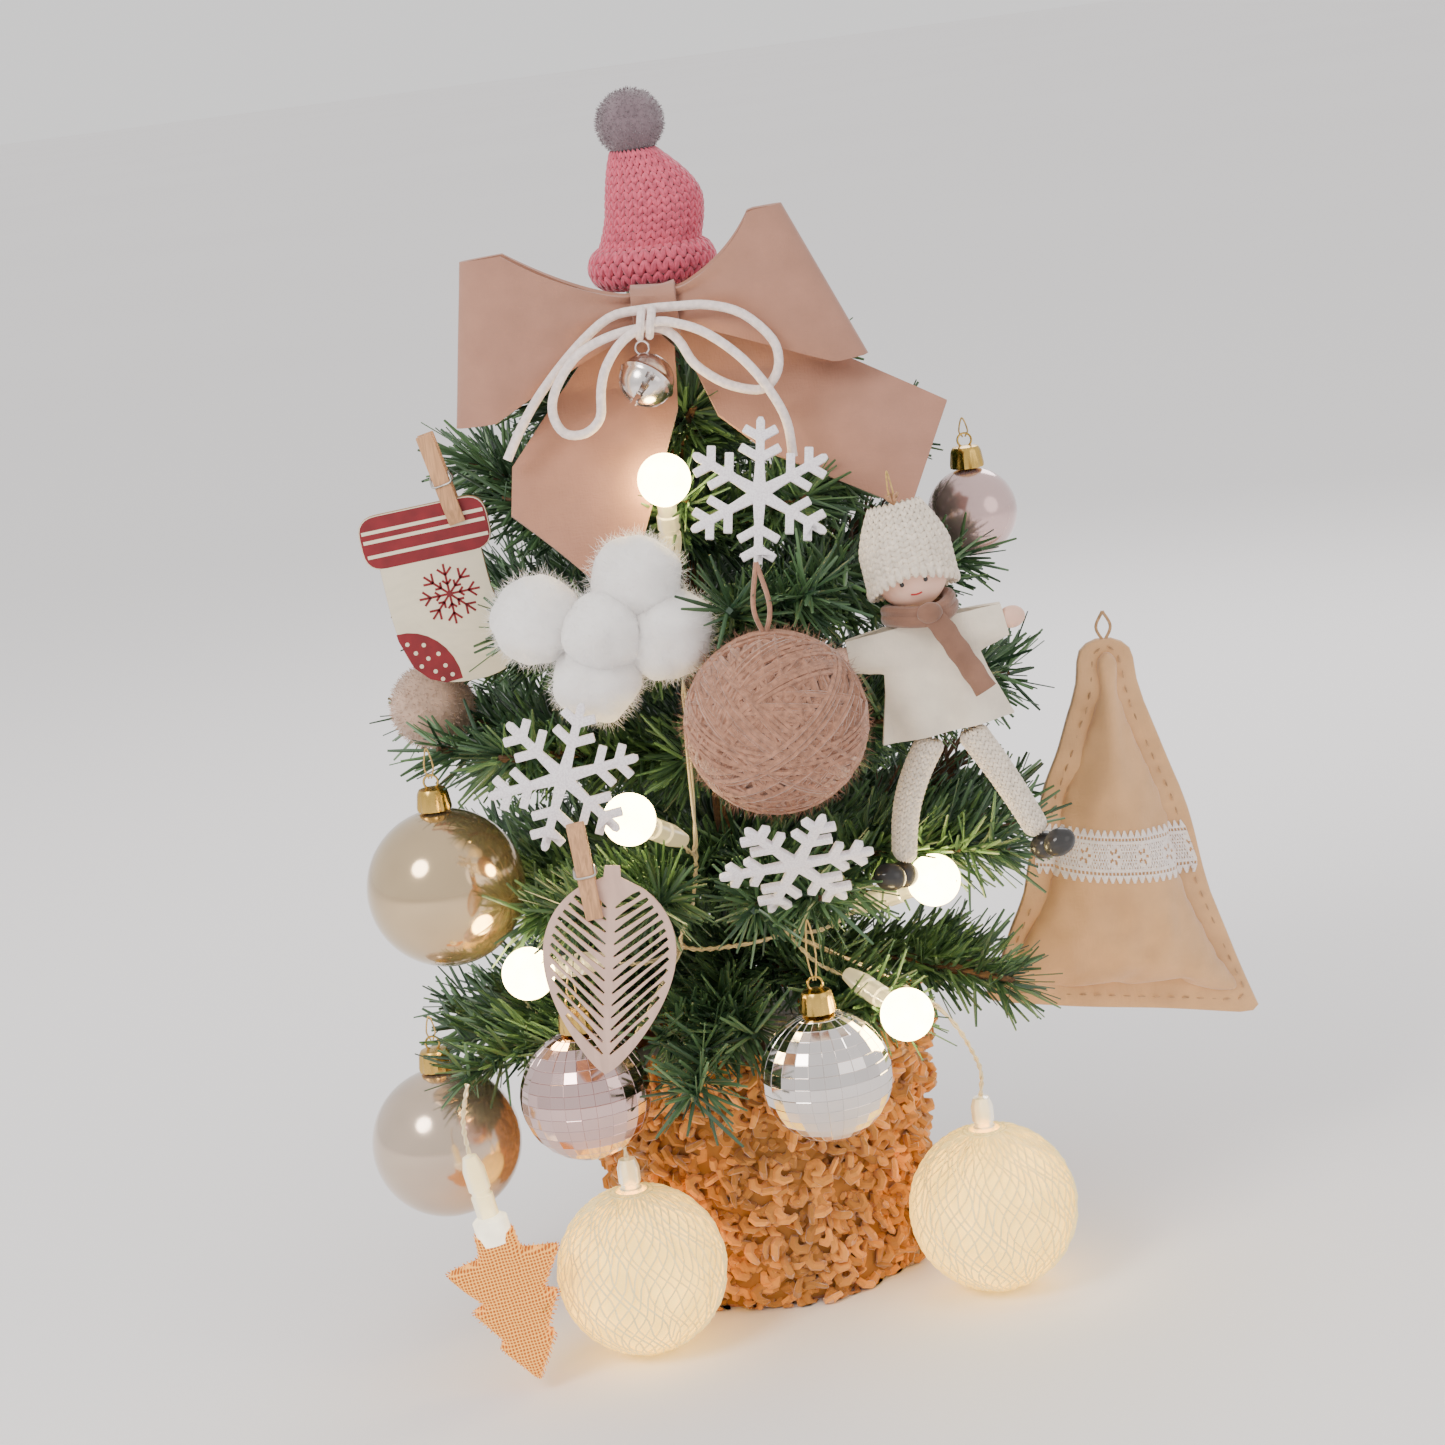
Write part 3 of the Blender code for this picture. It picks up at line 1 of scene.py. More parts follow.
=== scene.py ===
"""Decorated tabletop tree: the visible surface of every piece, built round the packed frame."""

import json
import math
import random

import bmesh
import bpy
from mathutils import Matrix, Vector, noise
from mathutils.bvhtree import BVHTree


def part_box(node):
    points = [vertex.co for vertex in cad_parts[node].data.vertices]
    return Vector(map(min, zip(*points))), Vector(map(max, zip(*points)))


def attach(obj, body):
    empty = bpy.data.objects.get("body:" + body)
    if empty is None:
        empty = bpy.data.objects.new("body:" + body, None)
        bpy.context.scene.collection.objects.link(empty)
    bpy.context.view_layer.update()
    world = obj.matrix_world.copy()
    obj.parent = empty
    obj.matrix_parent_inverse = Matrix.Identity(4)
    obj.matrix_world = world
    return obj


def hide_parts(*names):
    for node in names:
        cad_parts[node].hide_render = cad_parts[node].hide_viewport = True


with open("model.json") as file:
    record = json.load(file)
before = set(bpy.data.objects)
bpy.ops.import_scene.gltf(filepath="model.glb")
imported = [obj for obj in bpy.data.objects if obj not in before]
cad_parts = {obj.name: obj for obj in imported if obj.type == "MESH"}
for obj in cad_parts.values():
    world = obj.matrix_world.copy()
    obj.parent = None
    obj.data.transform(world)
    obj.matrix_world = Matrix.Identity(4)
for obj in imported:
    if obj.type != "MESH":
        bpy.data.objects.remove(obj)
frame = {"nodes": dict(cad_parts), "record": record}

bl_info = {
    "name": "Decorated Tabletop Tree",
    "version": (1, 0, 0),
    "blender": (4, 5, 0),
    "location": "View3D > Sidebar > Tree",
    "description": "Builds a small potted tree with its knitted, felt, wooden and lit decorations",
    "category": "Object",
}

NODES = list(frame["nodes"])
BOX = {name: [Vector(corner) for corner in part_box(name)] for name in NODES}
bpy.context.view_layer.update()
UP = Vector((0.0, 0.0, 1.0))
FRONT = Vector((0.0, -1.0, 0.0))


def above(height):
    return Vector((0.0, 0.0, height))


def angles(count):
    """Evenly spaced angles all the way round."""
    return [math.tau * k / count for k in range(count)]


def rotation(degrees, axis, size=4):
    return Matrix.Rotation(math.radians(degrees), size, axis)


def middle(node):
    low, high = BOX[node]
    return (low + high) / 2


def spread(node):
    low, high = BOX[node]
    return high - low


def ball_in(node):
    """The centre and radius of the ball at the bottom of a node's box."""
    low, high = BOX[node]
    radius = (high.x - low.x) / 2
    return Vector(((low.x + high.x) / 2, (low.y + high.y) / 2, low.z + radius)), radius


# The run of round cord tied over the felt bow, as its solid lies
CORD_ROUTE = (
    (-0.0586, -0.056, 0.3292), (-0.0518, -0.055, 0.3404), (-0.0430, -0.054, 0.3518),
    (-0.0297, -0.053, 0.3649), (-0.0165, -0.052, 0.3742), (-0.0046, -0.052, 0.3757),
    (0.0080, -0.053, 0.3755), (0.0192, -0.054, 0.3746), (0.0308, -0.055, 0.3701),
    (0.0402, -0.056, 0.3599), (0.0413, -0.057, 0.3510), (0.0376, -0.057, 0.3447),
    (0.0323, -0.057, 0.3430), (0.0217, -0.057, 0.3467), (0.0120, -0.057, 0.3547),
    (0.0072, -0.057, 0.3640), (0.0010, -0.057, 0.3690),
    (-0.0085, -0.058, 0.3696), (-0.0199, -0.059, 0.3674), (-0.0300, -0.060, 0.3623),
    (-0.0379, -0.061, 0.3523), (-0.0400, -0.061, 0.3439), (-0.0368, -0.061, 0.3367),
    (-0.0296, -0.061, 0.3357), (-0.0236, -0.061, 0.3405), (-0.0220, -0.061, 0.3501),
    (-0.0190, -0.061, 0.3583), (-0.0120, -0.061, 0.3665), (-0.0010, -0.061, 0.3715),
    (0.0080, -0.061, 0.3700), (0.0180, -0.061, 0.3650), (0.0290, -0.061, 0.3548),
    (0.0370, -0.062, 0.3428), (0.0416, -0.063, 0.3313), (0.0423, -0.064, 0.3187),
)
CORD_DIAMETER = 0.0034

# The light string: globe centres with the points where their leads leave the main run
GLOBES = (
    ((-0.004, -0.062, 0.316), (-0.006, -0.046, 0.262)),
    ((-0.031, -0.088, 0.201), (-0.010, -0.060, 0.182)),
    ((-0.074, -0.090, 0.150), (-0.020, -0.052, 0.143)),
    ((0.074, -0.071, 0.161), (0.018, -0.050, 0.143)),
    ((0.058, -0.100, 0.121), (0.018, -0.050, 0.143)),
)
LIGHT_RUN = (
    (0.0192, 0.0215, 0.0880), (0.0212, 0.0215, 0.1080), (0.026, 0.020, 0.146), (0.030, 0.000, 0.146),
    (0.026, -0.026, 0.146), (0.018, -0.050, 0.143), (0.000, -0.058, 0.142), (-0.020, -0.052, 0.143),
    (-0.014, -0.058, 0.160), (-0.010, -0.060, 0.182), (-0.008, -0.052, 0.225), (-0.006, -0.046, 0.262),
)
GLOBE_RADIUS = 0.0095
SOCKET_LENGTH = 0.024


# ---------------------------------------------------------------- settings

def length(label, text, value):
    return bpy.props.FloatProperty(name=label, description=text, default=value, unit="LENGTH")


class TreeSizes(bpy.types.PropertyGroup):
    needle_length: length("Needle length", "Length of one strip of foliage", 0.026)
    needle_width: length("Needle width", "Width of one strip of foliage", 0.0015)
    needle_density: bpy.props.FloatProperty(
        name="Needles per square metre", description="Strips on each square metre of branch", default=230000.0)
    lock_length: length("Plush lock", "Length of one curl of the pot cover", 0.0085)
    felt: length("Felt thickness", "Thickness of the bow's felt", 0.0018)


def colour(label, text, value):
    return bpy.props.FloatVectorProperty(
        name=label, description=text, subtype="COLOR", size=3, default=value, min=0.0, max=1.0)


class TreeColours(bpy.types.PropertyGroup):
    needle_dark: colour("Needle shade", "Darker foliage strips", (0.014, 0.045, 0.022))
    needle_light: colour("Needle light", "Lighter foliage strips", (0.105, 0.205, 0.085))
    hat: colour("Hat", "Pink hat yarn", (0.62, 0.10, 0.16))
    bow: colour("Bow", "Rose felt of the bow", (0.40, 0.205, 0.145))
    cushion: colour("Cushion", "Camel wool of the cushion", (0.66, 0.385, 0.19))
    plush: colour("Pot cover", "Caramel plush of the pot", (0.60, 0.26, 0.055))
    yarn: colour("Yarn", "Rose mohair of the ball", (0.36, 0.180, 0.115))


def sizes():
    return bpy.context.scene.tree_sizes


def chosen(name):
    return tuple(getattr(bpy.context.scene.tree_colours, name))


# ---------------------------------------------------------------- materials

def surface(name, base, roughness=0.8, **sockets):
    """A Principled material. Sockets are named with underscores for spaces."""
    material = bpy.data.materials.get(name)
    if material:
        return material, None
    material = bpy.data.materials.new(name)
    material.use_nodes = True
    shader = material.node_tree.nodes["Principled BSDF"]
    shader.inputs["Base Color"].default_value = (*base, 1.0)
    shader.inputs["Roughness"].default_value = roughness
    for socket, value in sockets.items():
        target = shader.inputs[socket.replace("_", " ")]
        target.default_value = (*value, 1.0) if target.type == "RGBA" else value
    return material, shader


def link(tree, a, b):
    tree.links.new(a, b)


def mapped(tree, scale, turn=(0.0, 0.0, 0.0)):
    """Object coordinates, turned and scaled."""
    place = tree.nodes.new("ShaderNodeTexCoord")
    mapping = tree.nodes.new("ShaderNodeMapping")
    mapping.inputs["Rotation"].default_value = turn
    mapping.inputs["Scale"].default_value = scale
    link(tree, place.outputs["Object"], mapping.inputs["Vector"])
    return mapping.outputs["Vector"]


def noise_of(tree, scale, detail=3.0, stretch=(1.0, 1.0, 1.0), turn=(0.0, 0.0, 0.0), distortion=0.0):
    texture = tree.nodes.new("ShaderNodeTexNoise")
    texture.inputs["Scale"].default_value = scale
    texture.inputs["Detail"].default_value = detail
    texture.inputs["Distortion"].default_value = distortion
    link(tree, mapped(tree, stretch, turn), texture.inputs["Vector"])
    return texture.outputs["Fac"]


def ramp(tree, factor, stops):
    made = tree.nodes.new("ShaderNodeValToRGB")
    ends = made.color_ramp.elements
    while len(ends) < len(stops):
        ends.new(0.5)
    for element, (place, value) in zip(ends, stops):
        element.position = place
        element.color = (*value, 1.0)
    link(tree, factor, made.inputs["Fac"])
    return made.outputs["Color"]


def shade_of(base, amount):
    return tuple(max(0.0, min(1.0, c * amount)) for c in base)


def mottle(shader, base, scale, low=0.82, high=1.12, detail=3.0):
    """Varies a colour between a darker and a lighter tone."""
    tree = shader.id_data
    tones = ((0.32, shade_of(base, low)), (0.68, shade_of(base, high)))
    link(tree, ramp(tree, noise_of(tree, scale, detail), tones), shader.inputs["Base Color"])


def bump(shader, height, strength, distance):
    tree = shader.id_data
    made = tree.nodes.new("ShaderNodeBump")
    made.inputs["Strength"].default_value = strength
    made.inputs["Distance"].default_value = distance
    link(tree, height, made.inputs["Height"])
    previous = shader.inputs["Normal"].links
    if previous:
        link(tree, previous[0].from_socket, made.inputs["Normal"])
    link(tree, made.outputs["Normal"], shader.inputs["Normal"])


def rough_range(shader, factor, low, high):
    tree = shader.id_data
    made = tree.nodes.new("ShaderNodeMapRange")
    made.inputs["To Min"].default_value = low
    made.inputs["To Max"].default_value = high
    link(tree, factor, made.inputs["Value"])
    link(tree, made.outputs["Result"], shader.inputs["Roughness"])


def felt_material(name, base, fibre=1400.0, sheen=0.35, low=0.80, high=1.12):
    """Pressed felt: fine crossing fibres and a soft sheen."""
    material, shader = surface(name, base, 0.95, Sheen_Weight=sheen, Sheen_Roughness=0.5, Specular_IOR_Level=0.15)
    if shader:
        tree = shader.id_data
        mottle(shader, base, 90.0, low, high, 6.0)
        along = noise_of(tree, fibre, 2.0, (1.0, 0.25, 0.25), (0.0, 0.5, 0.4), 0.4)
        across = noise_of(tree, fibre, 2.0, (0.25, 0.25, 1.0), (0.4, 0.0, 0.3), 0.4)
        bump(shader, along, 0.35, 0.0004)
        bump(shader, across, 0.35, 0.0004)
    return material


def yarn_material(name, base, scale=900.0, sheen=0.5, low=0.72, high=1.18, **more):
    """Spun yarn: streaky tone and hairy bump."""
    material, shader = surface(name, base, 0.95, Sheen_Weight=sheen, Sheen_Roughness=0.4, **more)
    if shader:
        mottle(shader, base, scale * 0.4, low, high, 4.0)
        bump(shader, noise_of(shader.id_data, scale * 2, 2.0, (1.0, 0.3, 0.6)), 0.4, 0.0003)
    return material


def wood_material(name, base, grain=(60.0, 60.0, 6.0), low=0.62, high=1.15, roughness=0.6, turn=(0.0, 0.0, 0.0)):
    material, shader = surface(name, base, roughness, Specular_IOR_Level=0.3)
    if shader:
        tree = shader.id_data
        rings = noise_of(tree, 6.0, 6.0, grain, turn, 1.2)
        link(tree, ramp(tree, rings, ((0.3, shade_of(base, low)), (0.7, shade_of(base, high)))),
             shader.inputs["Base Color"])
        bump(shader, rings, 0.25, 0.0002)
        rough_range(shader, rings, roughness - 0.1, roughness + 0.15)
    return material


def gloss_material(name, base, roughness=0.12, metallic=0.75, **more):
    """Lacquered metallic finish with faint handling marks."""
    material, shader = surface(
        name, base, roughness, Metallic=metallic, Coat_Weight=0.6, Coat_Roughness=0.05, **more)
    if shader:
        tree = shader.id_data
        mottle(shader, base, 45.0, 0.93, 1.05, 2.0)
        rough_range(shader, noise_of(tree, 160.0, 5.0), roughness * 0.6, roughness * 1.8)
        bump(shader, noise_of(tree, 70.0, 2.0), 0.04, 0.0004)
    return material


def metal_material(name, base, roughness=0.18):
    material, shader = surface(name, base, roughness, Metallic=1.0)
    if shader:
        tree = shader.id_data
        mottle(shader, base, 120.0, 0.85, 1.05, 4.0)
        rough_range(shader, noise_of(tree, 400.0, 4.0), roughness * 0.6, roughness * 1.9)
        bump(shader, noise_of(tree, 500.0, 3.0), 0.06, 0.0002)
    return material


def shaded_material(name, dark, light, roughness, **more):
    """Reads the tone that each repeated strip carries in its own attribute."""
    material, shader = surface(name, dark, roughness, **more)
    if shader:
        tree = shader.id_data
        tone = tree.nodes.new("ShaderNodeAttribute")
        tone.attribute_name = "tone"
        mix = tree.nodes.new("ShaderNodeMath")
        mix.operation = "MULTIPLY_ADD"
        link(tree, noise_of(tree, 300.0, 3.0), mix.inputs[0])
        mix.inputs[1].default_value = 0.35
        link(tree, tone.outputs["Fac"], mix.inputs[2])
        stops = ((0.12, dark), (0.75, tuple((a + b) / 2 for a, b in zip(dark, light))), (1.2, light))
        stops = tuple((min(1.0, place), value) for place, value in stops)
        link(tree, ramp(tree, mix.outputs[0], stops), shader.inputs["Base Color"])
        bump(shader, noise_of(tree, 900.0, 2.0), 0.2, 0.0002)
    return material


def lit_material(name, base, glow, strength, roughness=0.5, scale=220.0, **more):
    """A surface lit from behind: its own light varies with its thickness."""
    material, shader = surface(name, base, roughness, Emission_Strength=strength, **more)
    if shader:
        tree = shader.id_data
        cloud = noise_of(tree, scale, 4.0)
        link(tree, ramp(tree, cloud, ((0.3, shade_of(glow, 0.7)), (0.7, glow))), shader.inputs["Emission Color"])
        link(tree, ramp(tree, cloud, ((0.3, shade_of(base, 0.85)), (0.7, base))), shader.inputs["Base Color"])
        bump(shader, noise_of(tree, scale * 4, 2.0), 0.2, 0.0003)
    return material


# ---------------------------------------------------------------- mesh helpers

def linked(name, data):
    obj = bpy.data.objects.new(name, data)
    bpy.context.scene.collection.objects.link(obj)
    return obj


def new_object(name, mesh, materials):
    obj = linked(name, mesh)
    slots = [polygon.material_index for polygon in mesh.polygons]
    mesh.materials.clear()
    for material in materials if isinstance(materials, (list, tuple)) else [materials]:
        mesh.materials.append(material)
    mesh.polygons.foreach_set("material_index", slots)
    return obj


def finish_piece(obj, body, stands_for=(), sharp=35.0):
    """Smooths the piece and ties it to the body it moves with."""
    if obj.type == "MESH":
        obj.data.shade_smooth()
        if sharp:
            obj.data.set_sharp_from_angle(angle=math.radians(sharp))
    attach(obj, body)
    if stands_for:
        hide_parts(*stands_for)
    return obj


def mesh_from(name, build):
    """A mesh that a function fills through a bmesh."""
    bm = bmesh.new()
    build(bm)
    return mesh_of(name, bm)


def mesh_of(name, bm):
    """The mesh that a bmesh holds. The bmesh is freed."""
    mesh = bpy.data.meshes.new(name)
    bm.to_mesh(mesh)
    bm.free()
    return mesh


def keep(name, bm, materials, body, stands_for=(), sharp=35.0):
    """A finished piece of what a bmesh holds."""
    return finish_piece(new_object(name, mesh_of(name, bm), materials), body, stands_for, sharp)


def piece(name, build, materials, body, stands_for=(), sharp=35.0):
    """A finished piece that a function fills through a bmesh."""
    bm = bmesh.new()
    build(bm)
    return keep(name, bm, materials, body, stands_for, sharp)


def face_outward(bm):
    bmesh.ops.recalc_face_normals(bm, faces=bm.faces)


def loft(bm, rings, material=0, closed=False):
    """Faces from ring to ring, with a cap at each end unless the run is closed."""
    count = len(rings[0])
    pairs = list(zip(rings, rings[1:]))
    if closed:
        pairs.append((rings[-1], rings[0]))
    for a, b in pairs:
        for k in range(count):
            n = (k + 1) % count
            bm.faces.new((a[k], a[n], b[n], b[k])).material_index = material
    if not closed:
        for ring in (list(reversed(rings[0])), rings[-1]):
            bm.faces.new(ring).material_index = material


def cut(bm, axis, level):
    """Divides the faces that a plane across one axis runs through."""
    place, normal = [0.0, 0.0, 0.0], [0.0, 0.0, 0.0]
    place[axis] = level
    normal[axis] = 1.0
    bmesh.ops.bisect_plane(bm, geom=[*bm.verts, *bm.edges, *bm.faces], plane_co=place, plane_no=normal)


def flat_sheet(outline):
    """A bmesh with one layer of faces inside an outline."""
    bm = bmesh.new()
    bm.from_mesh(plate("sheet", [outline], 0.0002, Matrix.Identity(4)))
    bmesh.ops.delete(bm, geom=[f for f in bm.faces if f.normal.z < 0.5], context="FACES")
    return bm


def frames_along(points):
    """A side and a normal direction at each point, carried along without twist."""
    tangents = []
    for i in range(len(points)):
        ahead = points[min(i + 1, len(points) - 1)]
        behind = points[max(i - 1, 0)]
        tangents.append((ahead - behind).normalized())
    side = tangents[0].orthogonal().normalized()
    frames = []
    for tangent in tangents:
        side = (side - tangent * side.dot(tangent)).normalized()
        frames.append((side, tangent.cross(side)))
    return frames


def sweep(bm, points, radii, sides=8, material=0, squash=1.0, closed=False, frames=None):
    """A closed tube through points. squash flattens it along its second direction."""
    points = [Vector(p) for p in points]
    frames = frames or frames_along(points)
    if not isinstance(radii, (list, tuple)):
        radii = [radii] * len(points)
    rings = []
    for point, radius, (side, normal) in zip(points, radii, frames):
        ring = []
        for k in range(sides):
            turn = math.tau * k / sides
            ring.append(bm.verts.new(point + side * radius * math.cos(turn)
                                     + normal * radius * squash * math.sin(turn)))
        rings.append(ring)
    loft(bm, rings, material, closed)


def revolve(bm, profile, centre, steps=48, axis=None, material=0):
    """Turns a profile of (radius, height) about an axis. Points on the axis close the shape."""
    turn_to = (axis or UP).to_track_quat("Z", "Y").to_matrix()
    rings = []
    for radius, height in profile:
        if radius < 1e-7:
            rings.append([bm.verts.new(centre + turn_to @ above(height))])
            continue
        rings.append([
            bm.verts.new(centre + turn_to @ Vector((
                radius * math.cos(math.tau * k / steps), radius * math.sin(math.tau * k / steps), height)))
            for k in range(steps)])
    for a, b in zip(rings, rings[1:]):
        for k in range(steps):
            n = (k + 1) % steps
            if len(a) == 1 and len(b) == 1:
                continue
            corners = [a[0], b[k], b[n]] if len(a) == 1 else (
                [a[k], b[0], a[n]] if len(b) == 1 else [a[k], b[k], b[n], a[n]])
            bm.faces.new(corners).material_index = material
    return rings


def ball(bm, centre, radius, columns=32, rows=20, scale=(1.0, 1.0, 1.0), turn=None, material=0):
    """A sphere or ellipsoid."""
    matrix = Matrix.Translation(centre)
    if turn:
        matrix = matrix @ turn.to_4x4()
    matrix = matrix @ Matrix.Diagonal((*scale, 1.0))
    made = bmesh.ops.create_uvsphere(bm, u_segments=columns, v_segments=rows, radius=radius, matrix=matrix)
    for face in {f for v in made["verts"] for f in v.link_faces}:
        face.material_index = material
    return made["verts"]


def sheet_surface(bm, place, columns, rows, wrap=False):
    """A surface from a function of two shares, as an open grid."""
    grid = [[bm.verts.new(place(i / columns, j / rows)) for i in range(columns + (0 if wrap else 1))]
            for j in range(rows + 1)]
    across = len(grid[0])
    for j in range(rows):
        for i in range(across if wrap else across - 1):
            n = (i + 1) % across
            bm.faces.new((grid[j][i], grid[j][n], grid[j + 1][n], grid[j + 1][i]))
    return grid


def spline_points(route, per_span=6):
    """A smooth curve through the route's points."""
    points = [Vector(p) for p in route]
    padded = [points[0] * 2 - points[1], *points, points[-1] * 2 - points[-2]]
    fine = []
    for a, b, c, d in zip(padded, padded[1:], padded[2:], padded[3:]):
        for step in range(per_span):
            t = step / per_span
            fine.append(0.5 * (2 * b + (c - a) * t + (2 * a - 5 * b + 4 * c - d) * t**2
                               + (3 * b - a - 3 * c + d) * t**3))
    fine.append(points[-1])
    return fine


def plate(name, outlines, thickness, place, bevel=0.0):
    """A flat board from closed outlines. Inner outlines become holes."""
    curve = bpy.data.curves.new(name, "CURVE")
    curve.dimensions = "2D"
    curve.fill_mode = "BOTH"
    curve.extrude = thickness / 2 - bevel
    curve.bevel_depth = bevel
    curve.bevel_resolution = 1
    curve.offset = -bevel
    for outline in outlines:
        spline = curve.splines.new("POLY")
        spline.points.add(len(outline) - 1)
        for point, (x, y) in zip(spline.points, outline):
            point.co = (x, y, 0.0, 1.0)
        spline.use_cyclic_u = True
    helper = linked(name, curve)
    mesh = plain_mesh(helper)
    bpy.data.objects.remove(helper, do_unlink=True)
    mesh.transform(place)
    return mesh


def plain_mesh(obj, merge=1e-6):
    """The object's evaluated shape as a mesh of its own."""
    bpy.context.view_layer.update()
    graph = bpy.context.evaluated_depsgraph_get()
    mesh = bpy.data.meshes.new_from_object(obj.evaluated_get(graph))
    if merge:
        bm = bmesh.new()
        bm.from_mesh(mesh)
        bmesh.ops.remove_doubles(bm, verts=bm.verts, dist=merge)
        face_outward(bm)
        bm.to_mesh(mesh)
        bm.free()
    return mesh


def join_into(bm, mesh, material=0):
    """Adds a mesh to a bmesh, with one material."""
    before = len(bm.faces)
    bm.from_mesh(mesh)
    bm.faces.ensure_lookup_table()
    for index in range(before, len(bm.faces)):
        bm.faces[index].material_index = material


def refinish(node, material):
    """Gives another material to a node that keeps its own shape."""
    materials = frame["nodes"][node].data.materials
    materials.clear()
    materials.append(material)


def node_copy(node):
    """A welded copy of a CAD node's mesh."""
    mesh = frame["nodes"][node].data.copy()
    bm = bmesh.new()
    bm.from_mesh(mesh)
    bmesh.ops.remove_doubles(bm, verts=bm.verts, dist=1e-6)
    bm.to_mesh(mesh)
    bm.free()
    return mesh


def thicken(obj, thickness, offset=0.0):
    """Gives an open sheet its thickness and bakes it into the mesh."""
    wall = obj.modifiers.new("thickness", "SOLIDIFY")
    wall.thickness = thickness
    wall.offset = offset
    wall.use_even_offset = False
    mesh = plain_mesh(obj, 0.0)
    obj.modifiers.clear()
    old = obj.data
    obj.data = mesh
    bpy.data.meshes.remove(old)
    return obj


# ---------------------------------------------------------------- repeated shapes

def group_input(tree, name, kind):
    return tree.interface.new_socket(name=name, in_out="INPUT", socket_type=kind)


def finish_tree(tree, instances, start):
    """Realises the copies, gives them their material and closes the tree."""
    realize = tree.nodes.new("GeometryNodeRealizeInstances")
    paint = tree.nodes.new("GeometryNodeSetMaterial")
    end = tree.nodes.new("NodeGroupOutput")
    link(tree, instances, realize.inputs["Geometry"])
    link(tree, realize.outputs["Geometry"], paint.inputs["Geometry"])
    link(tree, start.outputs["Material"], paint.inputs["Material"])
    link(tree, paint.outputs["Geometry"], end.inputs[0])


